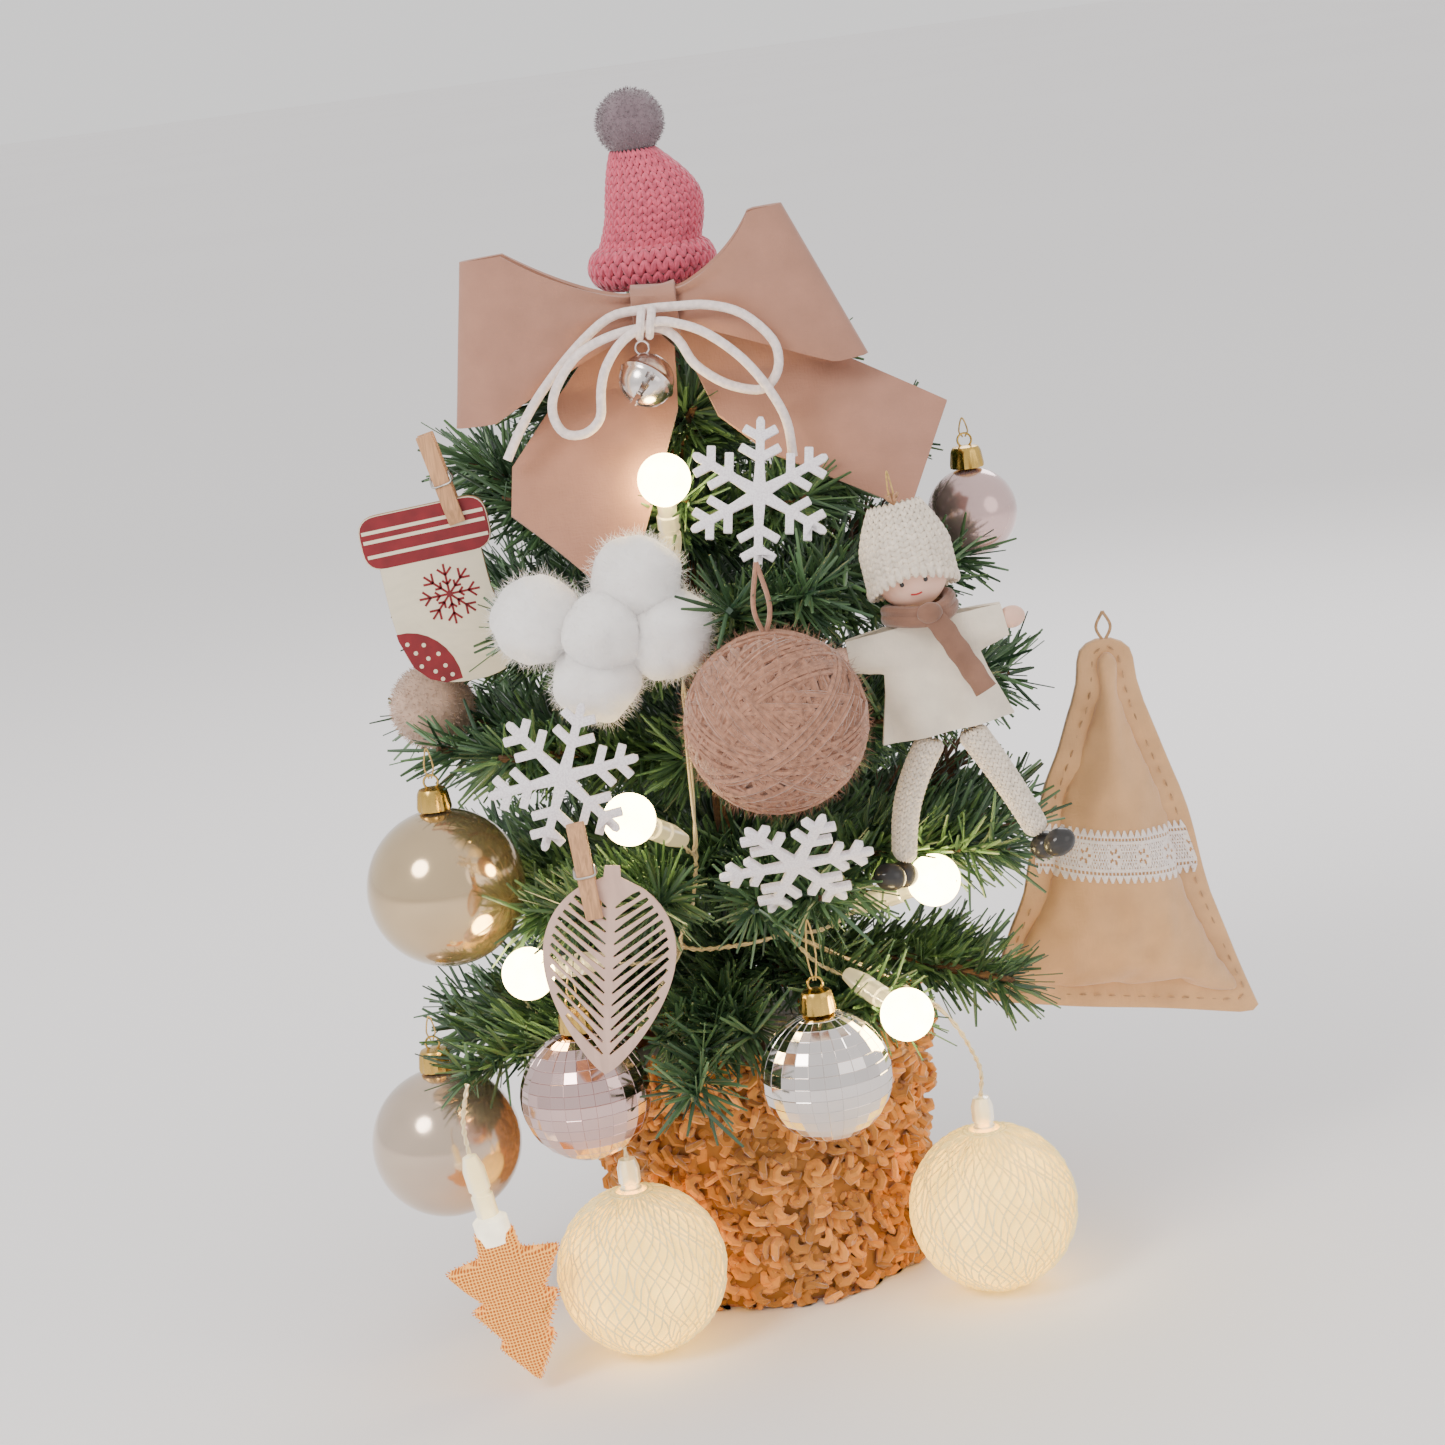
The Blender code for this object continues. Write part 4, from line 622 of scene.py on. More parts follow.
def strand_tree():
    """Strands that grow from a surface, leaning away from a centre line."""
    found = bpy.data.node_groups.get("Strands")
    if found:
        return found
    tree = bpy.data.node_groups.new("Strands", "GeometryNodeTree")
    group_input(tree, "Geometry", "NodeSocketGeometry")
    for name, kind in (("Strand", "NodeSocketObject"), ("Density", "NodeSocketFloat"),
                       ("Length", "NodeSocketFloat"), ("Spread", "NodeSocketFloat"), ("Width", "NodeSocketFloat"),
                       ("Lean", "NodeSocketVector"), ("Ruffle", "NodeSocketFloat"), ("Seed", "NodeSocketInt"),
                       ("Material", "NodeSocketMaterial")):
        group_input(tree, name, kind)
    tree.interface.new_socket(name="Geometry", in_out="OUTPUT", socket_type="NodeSocketGeometry")
    nodes = tree.nodes
    start = nodes.new("NodeGroupInput")

    def vector_math(operation, a, b=None, scale=None):
        made = nodes.new("ShaderNodeVectorMath")
        made.operation = operation
        link(tree, a, made.inputs[0])
        if b is not None:
            if hasattr(b, "is_output"):
                link(tree, b, made.inputs[1])
            else:
                made.inputs[1].default_value = b
        if scale is not None:
            link(tree, scale, made.inputs["Scale"])
        return made.outputs["Vector"]

    def random_value(kind, low, high, offset):
        made = nodes.new("FunctionNodeRandomValue")
        made.data_type = kind
        ends = ("Min", "Max") if kind == "FLOAT_VECTOR" else ("Min_001", "Max_001")
        for socket, value in zip(ends, (low, high)):
            found_socket = next(s for s in made.inputs if s.identifier == socket)
            if hasattr(value, "is_output"):
                link(tree, value, found_socket)
            else:
                found_socket.default_value = value
        add = nodes.new("ShaderNodeMath")
        add.inputs[1].default_value = offset
        link(tree, start.outputs["Seed"], add.inputs[0])
        link(tree, add.outputs[0], made.inputs["Seed"])
        return next(s for s in made.outputs if s.enabled)

    scatter = nodes.new("GeometryNodeDistributePointsOnFaces")
    link(tree, start.outputs["Geometry"], scatter.inputs["Mesh"])
    link(tree, start.outputs["Density"], scatter.inputs["Density"])
    link(tree, start.outputs["Seed"], scatter.inputs["Seed"])
    position = nodes.new("GeometryNodeInputPosition").outputs[0]
    outward = vector_math("NORMALIZE", vector_math("MULTIPLY", position, (1.0, 1.0, 0.0)))
    lean_by = nodes.new("ShaderNodeSeparateXYZ")
    link(tree, start.outputs["Lean"], lean_by.inputs[0])
    direction = vector_math("SCALE", scatter.outputs["Normal"], scale=lean_by.outputs[0])
    direction = vector_math("ADD", direction, vector_math("SCALE", outward, scale=lean_by.outputs[1]))
    drop = nodes.new("ShaderNodeCombineXYZ")
    link(tree, lean_by.outputs[2], drop.inputs[2])
    direction = vector_math("ADD", direction, drop.outputs[0])
    jitter = vector_math("SCALE", random_value("FLOAT_VECTOR", (-1, -1, -1), (1, 1, 1), 1.0),
                         scale=start.outputs["Ruffle"])
    direction = vector_math("ADD", direction, jitter)
    aim = nodes.new("FunctionNodeAlignRotationToVector")
    aim.axis = "Z"
    link(tree, direction, aim.inputs["Vector"])
    spin = nodes.new("FunctionNodeAxisAngleToRotation")
    spin.inputs["Axis"].default_value = (0.0, 0.0, 1.0)
    link(tree, random_value("FLOAT", -math.pi, math.pi, 2.0), spin.inputs["Angle"])
    turn = nodes.new("FunctionNodeRotateRotation")
    turn.rotation_space = "LOCAL"
    link(tree, aim.outputs[0], turn.inputs["Rotation"])
    link(tree, spin.outputs[0], turn.inputs["Rotate By"])
    size = nodes.new("ShaderNodeCombineXYZ")
    shorter = nodes.new("ShaderNodeMath")
    shorter.operation = "SUBTRACT"
    shorter.inputs[0].default_value = 1.0
    link(tree, start.outputs["Spread"], shorter.inputs[1])
    longer = nodes.new("ShaderNodeMath")
    longer.operation = "MULTIPLY"
    link(tree, random_value("FLOAT", shorter.outputs[0], 1.0, 3.0), longer.inputs[0])
    link(tree, start.outputs["Length"], longer.inputs[1])
    for socket, value in zip(size.inputs, (start.outputs["Width"], start.outputs["Width"], longer.outputs[0])):
        link(tree, value, socket)
    shape = nodes.new("GeometryNodeObjectInfo")
    link(tree, start.outputs["Strand"], shape.inputs["Object"])
    copies = nodes.new("GeometryNodeInstanceOnPoints")
    link(tree, scatter.outputs["Points"], copies.inputs["Points"])
    link(tree, shape.outputs["Geometry"], copies.inputs["Instance"])
    link(tree, turn.outputs[0], copies.inputs["Rotation"])
    link(tree, size.outputs[0], copies.inputs["Scale"])
    store = nodes.new("GeometryNodeStoreNamedAttribute")
    store.data_type = "FLOAT"
    store.domain = "INSTANCE"
    store.inputs["Name"].default_value = "tone"
    link(tree, copies.outputs[0], store.inputs["Geometry"])
    link(tree, random_value("FLOAT", 0.0, 1.0, 4.0), store.inputs["Value"])
    finish_tree(tree, store.outputs[0], start)
    return tree


def placed_tree():
    """Copies of one shape on points that carry their own turn and size."""
    found = bpy.data.node_groups.get("Placed copies")
    if found:
        return found
    tree = bpy.data.node_groups.new("Placed copies", "GeometryNodeTree")
    for name, kind in (("Geometry", "NodeSocketGeometry"), ("Shape", "NodeSocketObject"),
                       ("Material", "NodeSocketMaterial")):
        group_input(tree, name, kind)
    tree.interface.new_socket(name="Geometry", in_out="OUTPUT", socket_type="NodeSocketGeometry")
    nodes = tree.nodes
    start = nodes.new("NodeGroupInput")
    read = {}
    for name in ("turn", "size"):
        read[name] = nodes.new("GeometryNodeInputNamedAttribute")
        read[name].data_type = "FLOAT_VECTOR"
        read[name].inputs["Name"].default_value = name
    turn = nodes.new("FunctionNodeEulerToRotation")
    link(tree, read["turn"].outputs[0], turn.inputs[0])
    shape = nodes.new("GeometryNodeObjectInfo")
    link(tree, start.outputs["Shape"], shape.inputs["Object"])
    copies = nodes.new("GeometryNodeInstanceOnPoints")
    link(tree, start.outputs["Geometry"], copies.inputs["Points"])
    link(tree, shape.outputs["Geometry"], copies.inputs["Instance"])
    link(tree, turn.outputs[0], copies.inputs["Rotation"])
    link(tree, read["size"].outputs[0], copies.inputs["Scale"])
    finish_tree(tree, copies.outputs[0], start)
    return tree


def run_tree(mesh, tree, values, shape):
    """The plain mesh that a tree makes of a mesh, with its inputs set by identifier."""
    helper = bpy.data.objects.new("helper", mesh)
    modifier = helper.modifiers.new("copies", "NODES")
    modifier.node_group = tree
    for socket in tree.interface.items_tree:
        if socket.in_out == "INPUT" and socket.name in values:
            modifier[socket.identifier] = values[socket.name]
    bpy.context.scene.collection.objects.link(helper)
    made = plain_mesh(helper, 0.0)
    bpy.data.objects.remove(helper, do_unlink=True)
    bpy.data.objects.remove(shape, do_unlink=True)
    return made


def shape_object(build):
    obj = bpy.data.objects.new("shape", mesh_from("shape", build))
    obj.data.shade_smooth()
    bpy.context.scene.collection.objects.link(obj)
    return obj


def grow(mesh, strand, density, length, width, material, lean, ruffle, spread_by, seed):
    """Strands all over a mesh. Lean is the share of the normal, of the outward way and of up."""
    shape = shape_object(strand)
    values = {"Strand": shape, "Density": density, "Length": length, "Width": width, "Lean": lean,
              "Ruffle": ruffle, "Spread": spread_by, "Seed": seed, "Material": material}
    return run_tree(mesh, strand_tree(), values, shape)


def place_copies(spots, shape, material):
    """Copies of a shape at spots of (place, x axis, z axis, size)."""
    mesh = bpy.data.meshes.new("spots")
    mesh.from_pydata([tuple(spot[0]) for spot in spots], [], [])
    turn = mesh.attributes.new("turn", "FLOAT_VECTOR", "POINT")
    size = mesh.attributes.new("size", "FLOAT_VECTOR", "POINT")
    for i, (_, across, along, scale) in enumerate(spots):
        z = Vector(along).normalized()
        x = Vector(across)
        x = (x - z * x.dot(z)).normalized()
        turn.data[i].vector = Matrix((x, z.cross(x), z)).transposed().to_euler()
        size.data[i].vector = scale
    made = shape_object(shape)
    return run_tree(mesh, placed_tree(), {"Shape": made, "Material": material}, made)


BLADE_POINTS = 12  # three rings of four


def blade(bm):
    """A flat tapering strip, one unit wide and long, about a third as thick."""
    rings = []
    for height, half in ((0.0, 0.42), (0.55, 0.5), (0.97, 0.30)):
        bend = 0.05 * height * height
        rings.append([bm.verts.new((x * half, y * 0.16 + bend, height))
                      for x, y in ((1, 0), (0, 1), (-1, 0), (0, -1))])
    loft(bm, rings)


def hair(bm):
    """A thin curved fibre, one unit long."""
    points = [Vector((0.16 * math.sin(t * 2.6), 0.10 * t * t, t)) for t in (0.0, 0.35, 0.7, 1.0)]
    frames = [(Vector((1.0, 0.0, 0.0)), Vector((0.0, 1.0, 0.0)))] * 4
    sweep(bm, points, [0.5, 0.5, 0.4, 0.15], 3, frames=frames)


def stitch_shape(bm):
    """Half a knit stitch: a plump grain, one unit long."""
    ball(bm, Vector(), 0.5, 7, 5)


JOINTS = {joint["name"]: joint for joint in frame["record"]["behaviour"]["joints"]}


def hinge(name):
    return Vector(JOINTS[name]["pos_m"])


# ---------------------------------------------------------------- foliage, pot and trunk

def brown_wire():
    return wood_material("wound_wire", (0.10, 0.055, 0.028), (90.0, 90.0, 90.0), 0.5, 1.5, 0.8)


def needle_material():
    return shaded_material("needle_film", chosen("needle_dark"), chosen("needle_light"), 0.42,
                           Subsurface_Weight=0.0, Coat_Weight=0.10, Coat_Roughness=0.3)


def pierced_pieces():
    """A search tree of the pieces in front of the branches, which no strip may run through."""
    bm = bmesh.new()
    for node in frame["nodes"]:
        if not node.startswith(("branches", "trunk", "light_string", "battery", "coin", "cord")):
            join_into(bm, node_copy(node))
    tree = BVHTree.FromBMesh(bm)
    bm.free()
    return tree


def make_foliage():
    """Flat strips all round every branch, over a thin wound wire."""
    foliage = needle_material()
    wire = brown_wire()
    solid = pierced_pieces()
    for number in range(1, 7):
        core = node_copy(f"branches_{number}")
        bm = bmesh.new()
        bm.from_mesh(core)
        bm.normal_update()
        for vertex in bm.verts:
            vertex.co -= vertex.normal * 0.0024
        bm.to_mesh(core)
        bm.free()
        strips = grow(
            core.copy(), blade, sizes().needle_density, sizes().needle_length, sizes().needle_width, foliage,
            (0.62, 0.62, 0.10), 0.42, 0.45, 20 + number)
        bm = bmesh.new()
        join_into(bm, strips, 0)
        bm.verts.ensure_lookup_table()
        piercing = []
        for first in range(0, len(bm.verts), BLADE_POINTS):
            strip = bm.verts[first:first + BLADE_POINTS]
            root = sum((v.co for v in strip[:4]), Vector()) / 4
            way = sum((v.co for v in strip[8:]), Vector()) / 4 - root
            if solid.ray_cast(root, way.normalized(), way.length * 1.02)[0]:
                piercing += strip
        bmesh.ops.delete(bm, geom=piercing, context="VERTS")
        join_into(bm, core, 1)
        if bm.verts.layers.float.get("tone") is None:
            raise RuntimeError("the strips carry no tone")
        keep(f"foliage_{number}", bm, [foliage, wire], "root", [f"branches_{number}"])


def lock_shape(bm):
    """One curl of plush, one unit long, that bends over at its tip."""
    points = [Vector((0.26 * math.sin(5.2 * t), 0.24 * math.cos(5.2 * t) - 0.24, t * (1 - 0.35 * t)))
              for t in (0.0, 0.2, 0.4, 0.6, 0.8, 1.0)]
    sweep(bm, points, [0.15, 0.19, 0.20, 0.19, 0.15, 0.07], 6)


def make_pot_cover():
    base = chosen("plush")
    plush = shaded_material("caramel_plush_pile", shade_of(base, 0.55), shade_of(base, 1.35), 0.95,
                            Sheen_Weight=0.6, Sheen_Roughness=0.4)
    low, high = BOX["pot_cover"]
    top = (high.x - low.x) / 2
    slope = 0.009
    wall = [(top - slope, low.z + 0.001), (top - slope * 0.5, (low.z + high.z) / 2), (top, high.z - 0.001)]
    pile = bmesh.new()
    revolve(pile, [(r - 0.0016, z) for r, z in wall], Vector(), 64)
    skin = mesh_of("skin", pile)
    # The solid cover under the locks carries no tone, so it takes the dark end of the plush ramp: painted shade in the
    # gaps between the locks
    bm = bmesh.new()
    inner = [(r - 0.0038, z) for r, z in reversed(wall)]
    rings = revolve(bm, [(r - 0.0028, z) for r, z in wall] + inner, Vector(), 64)
    for k in range(64):
        bm.faces.new((rings[-1][k], rings[0][k], rings[0][(k + 1) % 64], rings[-1][(k + 1) % 64]))
    face_outward(bm)
    locks = grow(skin, lock_shape, 74000.0, sizes().lock_length, sizes().lock_length * 1.25, plush,
                 (0.42, 0.0, -0.45), ruffle=0.75, spread_by=0.35, seed=5)
    for vertex in locks.vertices:
        vertex.co.z = max(vertex.co.z, 0.0006)
    join_into(bm, locks)
    keep("pot_cover_plush", bm, plush, "root", ["pot_cover"])


# ---------------------------------------------------------------- knitting

def surface_frame(place, u, v, step=0.004):
    """The point on a surface with its directions round, along and outward."""
    point = place(u, v)
    around = place(u + step, v) - place(u - step, v)
    along = place(u, min(1.0, v + step)) - place(u, max(0.0, v - step))
    return point, around / (2 * step), along / (2 * step), around.cross(along).normalized()


def knit_spots(place, columns, rows, plump=1.0):
    """Rows of stitches, two leaning grains to each."""
    spots = []
    for j in range(rows):
        for i in range(columns):
            for side in (-1, 1):
                u = (i + 0.5 + side * 0.24) / columns
                v = (j + 0.5) / rows
                point, around, along, out = surface_frame(place, u, v)
                width = around.length / columns
                length = along.length / rows
                if width < 0.0004:
                    continue
                lean = (along.normalized() * length + around.normalized() * width * 0.42 * side)
                across = lean.cross(out)
                spots.append((point, across, lean, (width * 0.62, width * 0.55 * plump, lean.length * 1.32)))
    return spots


def knit(bm, place, cells, stitches, inset, wool):
    """A closed lining set back from a surface, under rows of stitches."""
    sheet_surface(bm, place, *cells, wrap=True)
    face_outward(bm)
    bm.normal_update()
    for vertex in bm.verts:
        vertex.co -= vertex.normal * inset
    bmesh.ops.holes_fill(bm, edges=[e for e in bm.edges if e.is_boundary], sides=200)
    join_into(bm, place_copies(knit_spots(place, *stitches), stitch_shape, wool))


def make_hat():
    base = chosen("hat")
    wool = yarn_material("pink_wool", base, 1200.0, 0.6, 0.75, 1.22)
    low, high = BOX["hat_crown"]
    brim_low, brim_high = BOX["hat_brim"]
    roll = (brim_high.z - brim_low.z) / 2
    ring = (brim_high.x - brim_low.x) / 2 - roll
    middle_z = (brim_low.z + brim_high.z) / 2
    height = high.z - low.z
    radius = 0.0182

    def crown_place(u, v):
        v = max(0.0, min(1.0, v))
        r = radius * (1.0 - 0.10 * v - 0.50 * max(0.0, v - 0.42) ** 1.7 / 0.58**1.7 * 0.90)
        slouch = 0.004 * math.sin(math.pi * v) - 0.0016 * v
        angle = math.tau * u
        crease = 1.0 + 0.035 * math.sin(3 * angle + 5 * v) * v
        level = low.z - 0.002 + (height + 0.0048) * v
        return Vector((slouch + r * crease * math.cos(angle), r * crease * math.sin(angle), level))

    def brim_place(u, v):
        turn = math.radians(150.0 - 300.0 * v)
        angle = math.tau * u
        r = ring + roll * 0.86 * math.cos(turn)
        return Vector((r * math.cos(angle), r * math.sin(angle), middle_z - roll * 0.90 * math.sin(turn)))

    for node, place, columns, rows in (("hat_crown", crown_place, 32, 12), ("hat_brim", brim_place, 34, 9)):
        bm = bmesh.new()
        knit(bm, place, (60, 26), (columns, rows, 1.15), 0.0010, wool)
        keep(f"{node}_knit", bm, wool, "hat", [node])
    fuzzy_ball("hat_pompom", "pompom", "hat", "mauve_felt", (0.20, 0.145, 0.165), 0.0016)


def fuzzy_ball(name, node, body, slot, base, length, lumps=0.03):
    """A felted ball with a short nap."""
    felt = felt_material(f"{slot}_nap", base, 1200.0, 0.55, 0.70, 1.15)
    low, high = BOX[node]
    radius = (high.x - low.x) / 2
    centre = (low + high) / 2
    mesh = mesh_from("nap", lambda bm: ball(bm, centre, radius * 0.985, 40, 26))
    for vertex in mesh.vertices:
        away = vertex.co - centre
        vertex.co = centre + away * (1 + lumps * noise.noise(away * 160))
    fibres = grow(mesh.copy(), hair, 2.4 / (4 * math.pi * radius**2) * 900, length, 0.00022, felt,
                  (1.0, 0.0, -0.1), ruffle=0.9, spread_by=0.5, seed=9)
    bm = bmesh.new()
    join_into(bm, mesh)
    join_into(bm, fibres)
    return keep(name, bm, felt, body, [node])


# ---------------------------------------------------------------- bow, cord and bell

KNOT = middle("bow_knot")
WEB = KNOT + Vector((0.0, -0.005, 0.0))
RIBBON = 0.058
# Each loop's side, slant, lift and length, then the outline of each tail from the knot
BOW_LOOPS = ((-1, 0.16, -0.05, 0.065), (1, 0.42, 0.06, 0.055))
BOW_TAILS = (
    ((-0.010, 0.006), (-0.058, -0.049), (-0.060, -0.065), (-0.0315, -0.0915), (-0.0155, -0.0815),
     (0.0035, -0.036), (0.005, -0.0145), (-0.004, -0.004)),
    ((0.010, 0.006), (0.0995, -0.045), (0.0812, -0.0792), (0.0337, -0.0545), (0.0176, -0.040),
     (0.009, -0.018), (0.004, -0.004)),
)


def teardrop(share, start, length, bulge):
    turn = math.tau * (0.018 + 0.964 * share)
    return start + length * (1 - math.cos(turn)) / 2, bulge * math.sin(turn) * math.sin(turn / 2)


def loop_place(side, slant, lift, length):
    """One loop of the ribbon: all the way round it, and across its width."""
    gathered = 0.24

    def place(u, v):
        x, y = teardrop(u, 0.0056, length, 0.0095)
        z = (v - 0.5) * RIBBON
        share = min(1.0, max(0.0, (x - 0.0096) / (length * 0.72)))
        z *= gathered + (1 - gathered) * share**1.3
        x -= slant * z * share
        crease = math.exp(-x / 0.026) * 0.0024
        y += crease * math.sin(v * 15.0 + (0.6 if u < 0.5 else 2.2)) * (1 if u < 0.5 else 0.5)
        y -= 0.0016 * math.sin(math.pi * v) * share * (1 if u > 0.5 else -1)
        return WEB + Vector((side * x, y, z + lift * x))

    return place


def tail_y(drop):
    return 0.0058 - 0.55 * max(0.0, drop - 0.026)


def make_bow():
    felt = felt_material("rose_bow_felt", chosen("bow"), 1400.0, 0.25, 0.93, 1.05)
    bm = bmesh.new()
    for side, slant, lift, length in BOW_LOOPS:
        sheet_surface(bm, loop_place(side, slant, lift, length), 56, 20)
    face_outward(bm)
    mesh = mesh_of("bow_loops_felt", bm)
    loops = thicken(new_object("bow_loops_felt", mesh, felt), sizes().felt)
    finish_piece(loops, "root", ["bow_loops"])
    bm = bmesh.new()
    for outline in BOW_TAILS:
        part = flat_sheet(outline)
        for k in range(-1, 35):
            cut(part, 1, -0.003 * k)
        for k in range(-22, 35):
            cut(part, 0, 0.003 * k)
        bmesh.ops.remove_doubles(part, verts=part.verts, dist=1e-5)
        for vertex in part.verts:
            x, drop = vertex.co.x, -vertex.co.y
            share = min(1.0, max(0.0, drop / 0.08))
            wave = 0.0022 * math.sin(abs(x) * 95.0 - drop * 40.0) * share + 0.0012 * math.sin(drop * 90.0) * share
            vertex.co = Vector((x, tail_y(drop) - 0.0012 + wave, -drop))
        part.normal_update()
        made = mesh_of("tail", part)
        made.transform(Matrix.Translation(KNOT))
        join_into(bm, made)
    mesh = mesh_of("bow_tails_felt", bm)
    tails = thicken(new_object("bow_tails_felt", mesh, felt), sizes().felt)
    finish_piece(tails, "root", ["bow_tails"])
    half = spread("bow_knot") / 2

    def knot_place(u, v):
        turn = math.tau * u
        waist = 1.0 - 0.10 * math.sin(math.pi * v)
        crease = 1.0 + 0.035 * math.sin(5 * turn + 7 * v)
        y = (half.y - 0.0011) * waist * crease * max(-1.0, min(1.0, 1.25 * math.cos(turn)))
        z = (half.z - 0.0034) * waist * crease * max(-1.0, min(1.0, 1.15 * math.sin(turn)))
        return KNOT + Vector(((v - 0.5) * half.x * 2, y, z))

    bm = bmesh.new()
    sheet_surface(bm, knot_place, 48, 12, wrap=True)
    face_outward(bm)
    mesh = mesh_of("bow_knot_felt", bm)
    knot = thicken(new_object("bow_knot_felt", mesh, felt), sizes().felt)
    finish_piece(knot, "root", ["bow_knot"])


def make_cord():
    """The round cord, tied in a bow over the felt one."""
    cotton = yarn_material("cotton_cord", (0.86, 0.74, 0.70), 1500.0, 0.5, 0.85, 1.1)
    curve = bpy.data.curves.new("cord_tie", "CURVE")
    curve.dimensions = "3D"
    curve.bevel_depth = CORD_DIAMETER / 2
    curve.bevel_resolution = 4
    curve.use_fill_caps = True
    points = spline_points(CORD_ROUTE, 4)
    spline = curve.splines.new("POLY")
    spline.points.add(len(points) - 1)
    for point, place in zip(spline.points, points):
        point.co = (*place, 1.0)
    cord = linked("cord_tie", curve)
    curve.materials.append(cotton)
    finish_piece(cord, "root", ["cord_bow"])
    tie = Vector((-0.003, -0.0565, 0.3715))

    def wrap(bm):
        for shift in (-0.0022, 0.0014):
            ring = [tie + Vector((shift + 0.0010 * math.sin(t), 0.0052 * math.cos(t) - 0.001, 0.0048 * math.sin(t)))
                    for t in angles(20)]
            sweep(bm, ring, 0.0015, 8, closed=True)

    knot = piece("cord_knot", wrap, cotton, "root")


def make_bell():
    silver = metal_material("bell_silver", (0.80, 0.74, 0.72), 0.16)
    radius = spread("bell").x / 2
    centre = middle("bell")
    bm = bmesh.new()
    ball(bm, Vector(), radius - 0.0004, 72, 56)
    for vertex in bm.verts:
        band = math.exp(-((vertex.co.z / 0.0007) ** 2))
        vertex.co += Vector((vertex.co.x, vertex.co.y, 0.0)).normalized() * 0.0007 * band
    turn = rotation(38.0, "Y", 3) @ rotation(-34.0, "X", 3)
    gone = []
    for face in bm.faces:
        spot = face.calc_center_median()
        lower = spot.z < -radius * 0.28
        across = abs(spot.y) < 0.0011 and lower
        along = abs(spot.x) < 0.0011 and lower
        ends = any((spot - Vector((x, y, -radius * 0.28)).normalized() * radius).length < 0.0018
                   for x, y in ((radius, 0), (-radius, 0), (0, radius), (0, -radius)))
        if across or along or ends:
            gone.append(face)
    bmesh.ops.delete(bm, geom=gone, context="FACES")
    bmesh.ops.rotate(bm, verts=bm.verts, cent=Vector(), matrix=turn)
    bmesh.ops.translate(bm, verts=bm.verts, vec=centre)
    mesh = mesh_of("jingle_bell", bm)
    bell = thicken(new_object("jingle_bell", mesh, silver), 0.0007, -1.0)
    finish_piece(bell, "bell", ["bell"])
    top = hinge("bell_swing")

    def loop(bm):
        ring = [top.lerp(centre + above(radius), 0.5)
                + Vector((0.0024 * math.cos(t), 0.0, 0.0024 * math.sin(t)))
                for t in angles(18)]
        sweep(bm, ring, 0.0005, 6, closed=True)

    piece("bell_loop", loop, silver, "bell")
    refinish("bell_pellet", silver)


# ---------------------------------------------------------------- soft balls

def wound_ball(name, node, body, base):
    """Yarn wound in crossing bands, with loose mohair round it."""
    wool = yarn_material("rose_mohair", base, 1100.0, 0.7, 0.72, 1.25)
    radius = spread(node).x / 2
    centre = middle(node)
    picks = random.Random(11)
    bm = bmesh.new()
    ball(bm, centre, radius - 0.0022, 32, 22)
    bands = 24
    for band in range(bands):
        axis = Vector((picks.gauss(0, 1), picks.gauss(0, 1), picks.gauss(0, 1))).normalized()
        if band >= bands - 3:
            outer = ((0.62, -0.35, 0.7), (-0.5, -0.30, 0.8), (0.15, -0.45, 0.85))
            axis = Vector(outer[band - bands + 3]).normalized()
        side = axis.orthogonal().normalized()
        across = axis.cross(side)
        reach = radius - 0.0021 + 0.0014 * band / bands
        for strand in range(7):
            shift = (strand - 3) * 0.00165 + picks.uniform(-0.0003, 0.0003) + picks.uniform(-0.5, 0.5) * 0.010
            ring = math.sqrt(max(1e-8, reach**2 - shift**2))
            wander = picks.uniform(0, 6.28)
            points = []
            for k in range(40):
                turn = math.tau * k / 40
                sway = 0.0006 * math.sin(2 * turn + wander)
                point = side * math.cos(turn) * ring + across * math.sin(turn) * ring + axis * (shift + sway)
                points.append(centre + point.normalized() * (reach + 0.0003 * math.sin(3 * turn + wander)))
            sweep(bm, points, 0.00100, 5, closed=True)
    skin = mesh_from("skin", lambda other: ball(other, centre, radius - 0.001, 32, 22))
    fluff = grow(skin, hair, 330000.0, 0.0062, 0.00015, wool, (0.75, 0.0, -0.1), ruffle=1.2, spread_by=0.8, seed=31)
    join_into(bm, fluff)
    top = hinge("yarn_ball_swing")
    start = centre + above(radius - 0.002)
    for sway in (-1, 1):
        route = [start, start.lerp(top, 0.45) + Vector((sway * 0.0028, -0.001, 0.0)), top + above(0.002)]
        sweep(bm, spline_points(route, 6), 0.0009, 6)
    keep(name, bm, wool, body, [node])


COTTON_CENTRE = Vector((-0.031, -0.092, 0.268))
PUFFS = ((-0.023, 0.004, 0.008, 0.0165), (0.014, 0.004, 0.018, 0.0165), (0.022, 0.002, -0.002, 0.017),
         (-0.004, 0.000, -0.014, 0.0165), (0.000, -0.005, 0.002, 0.015))


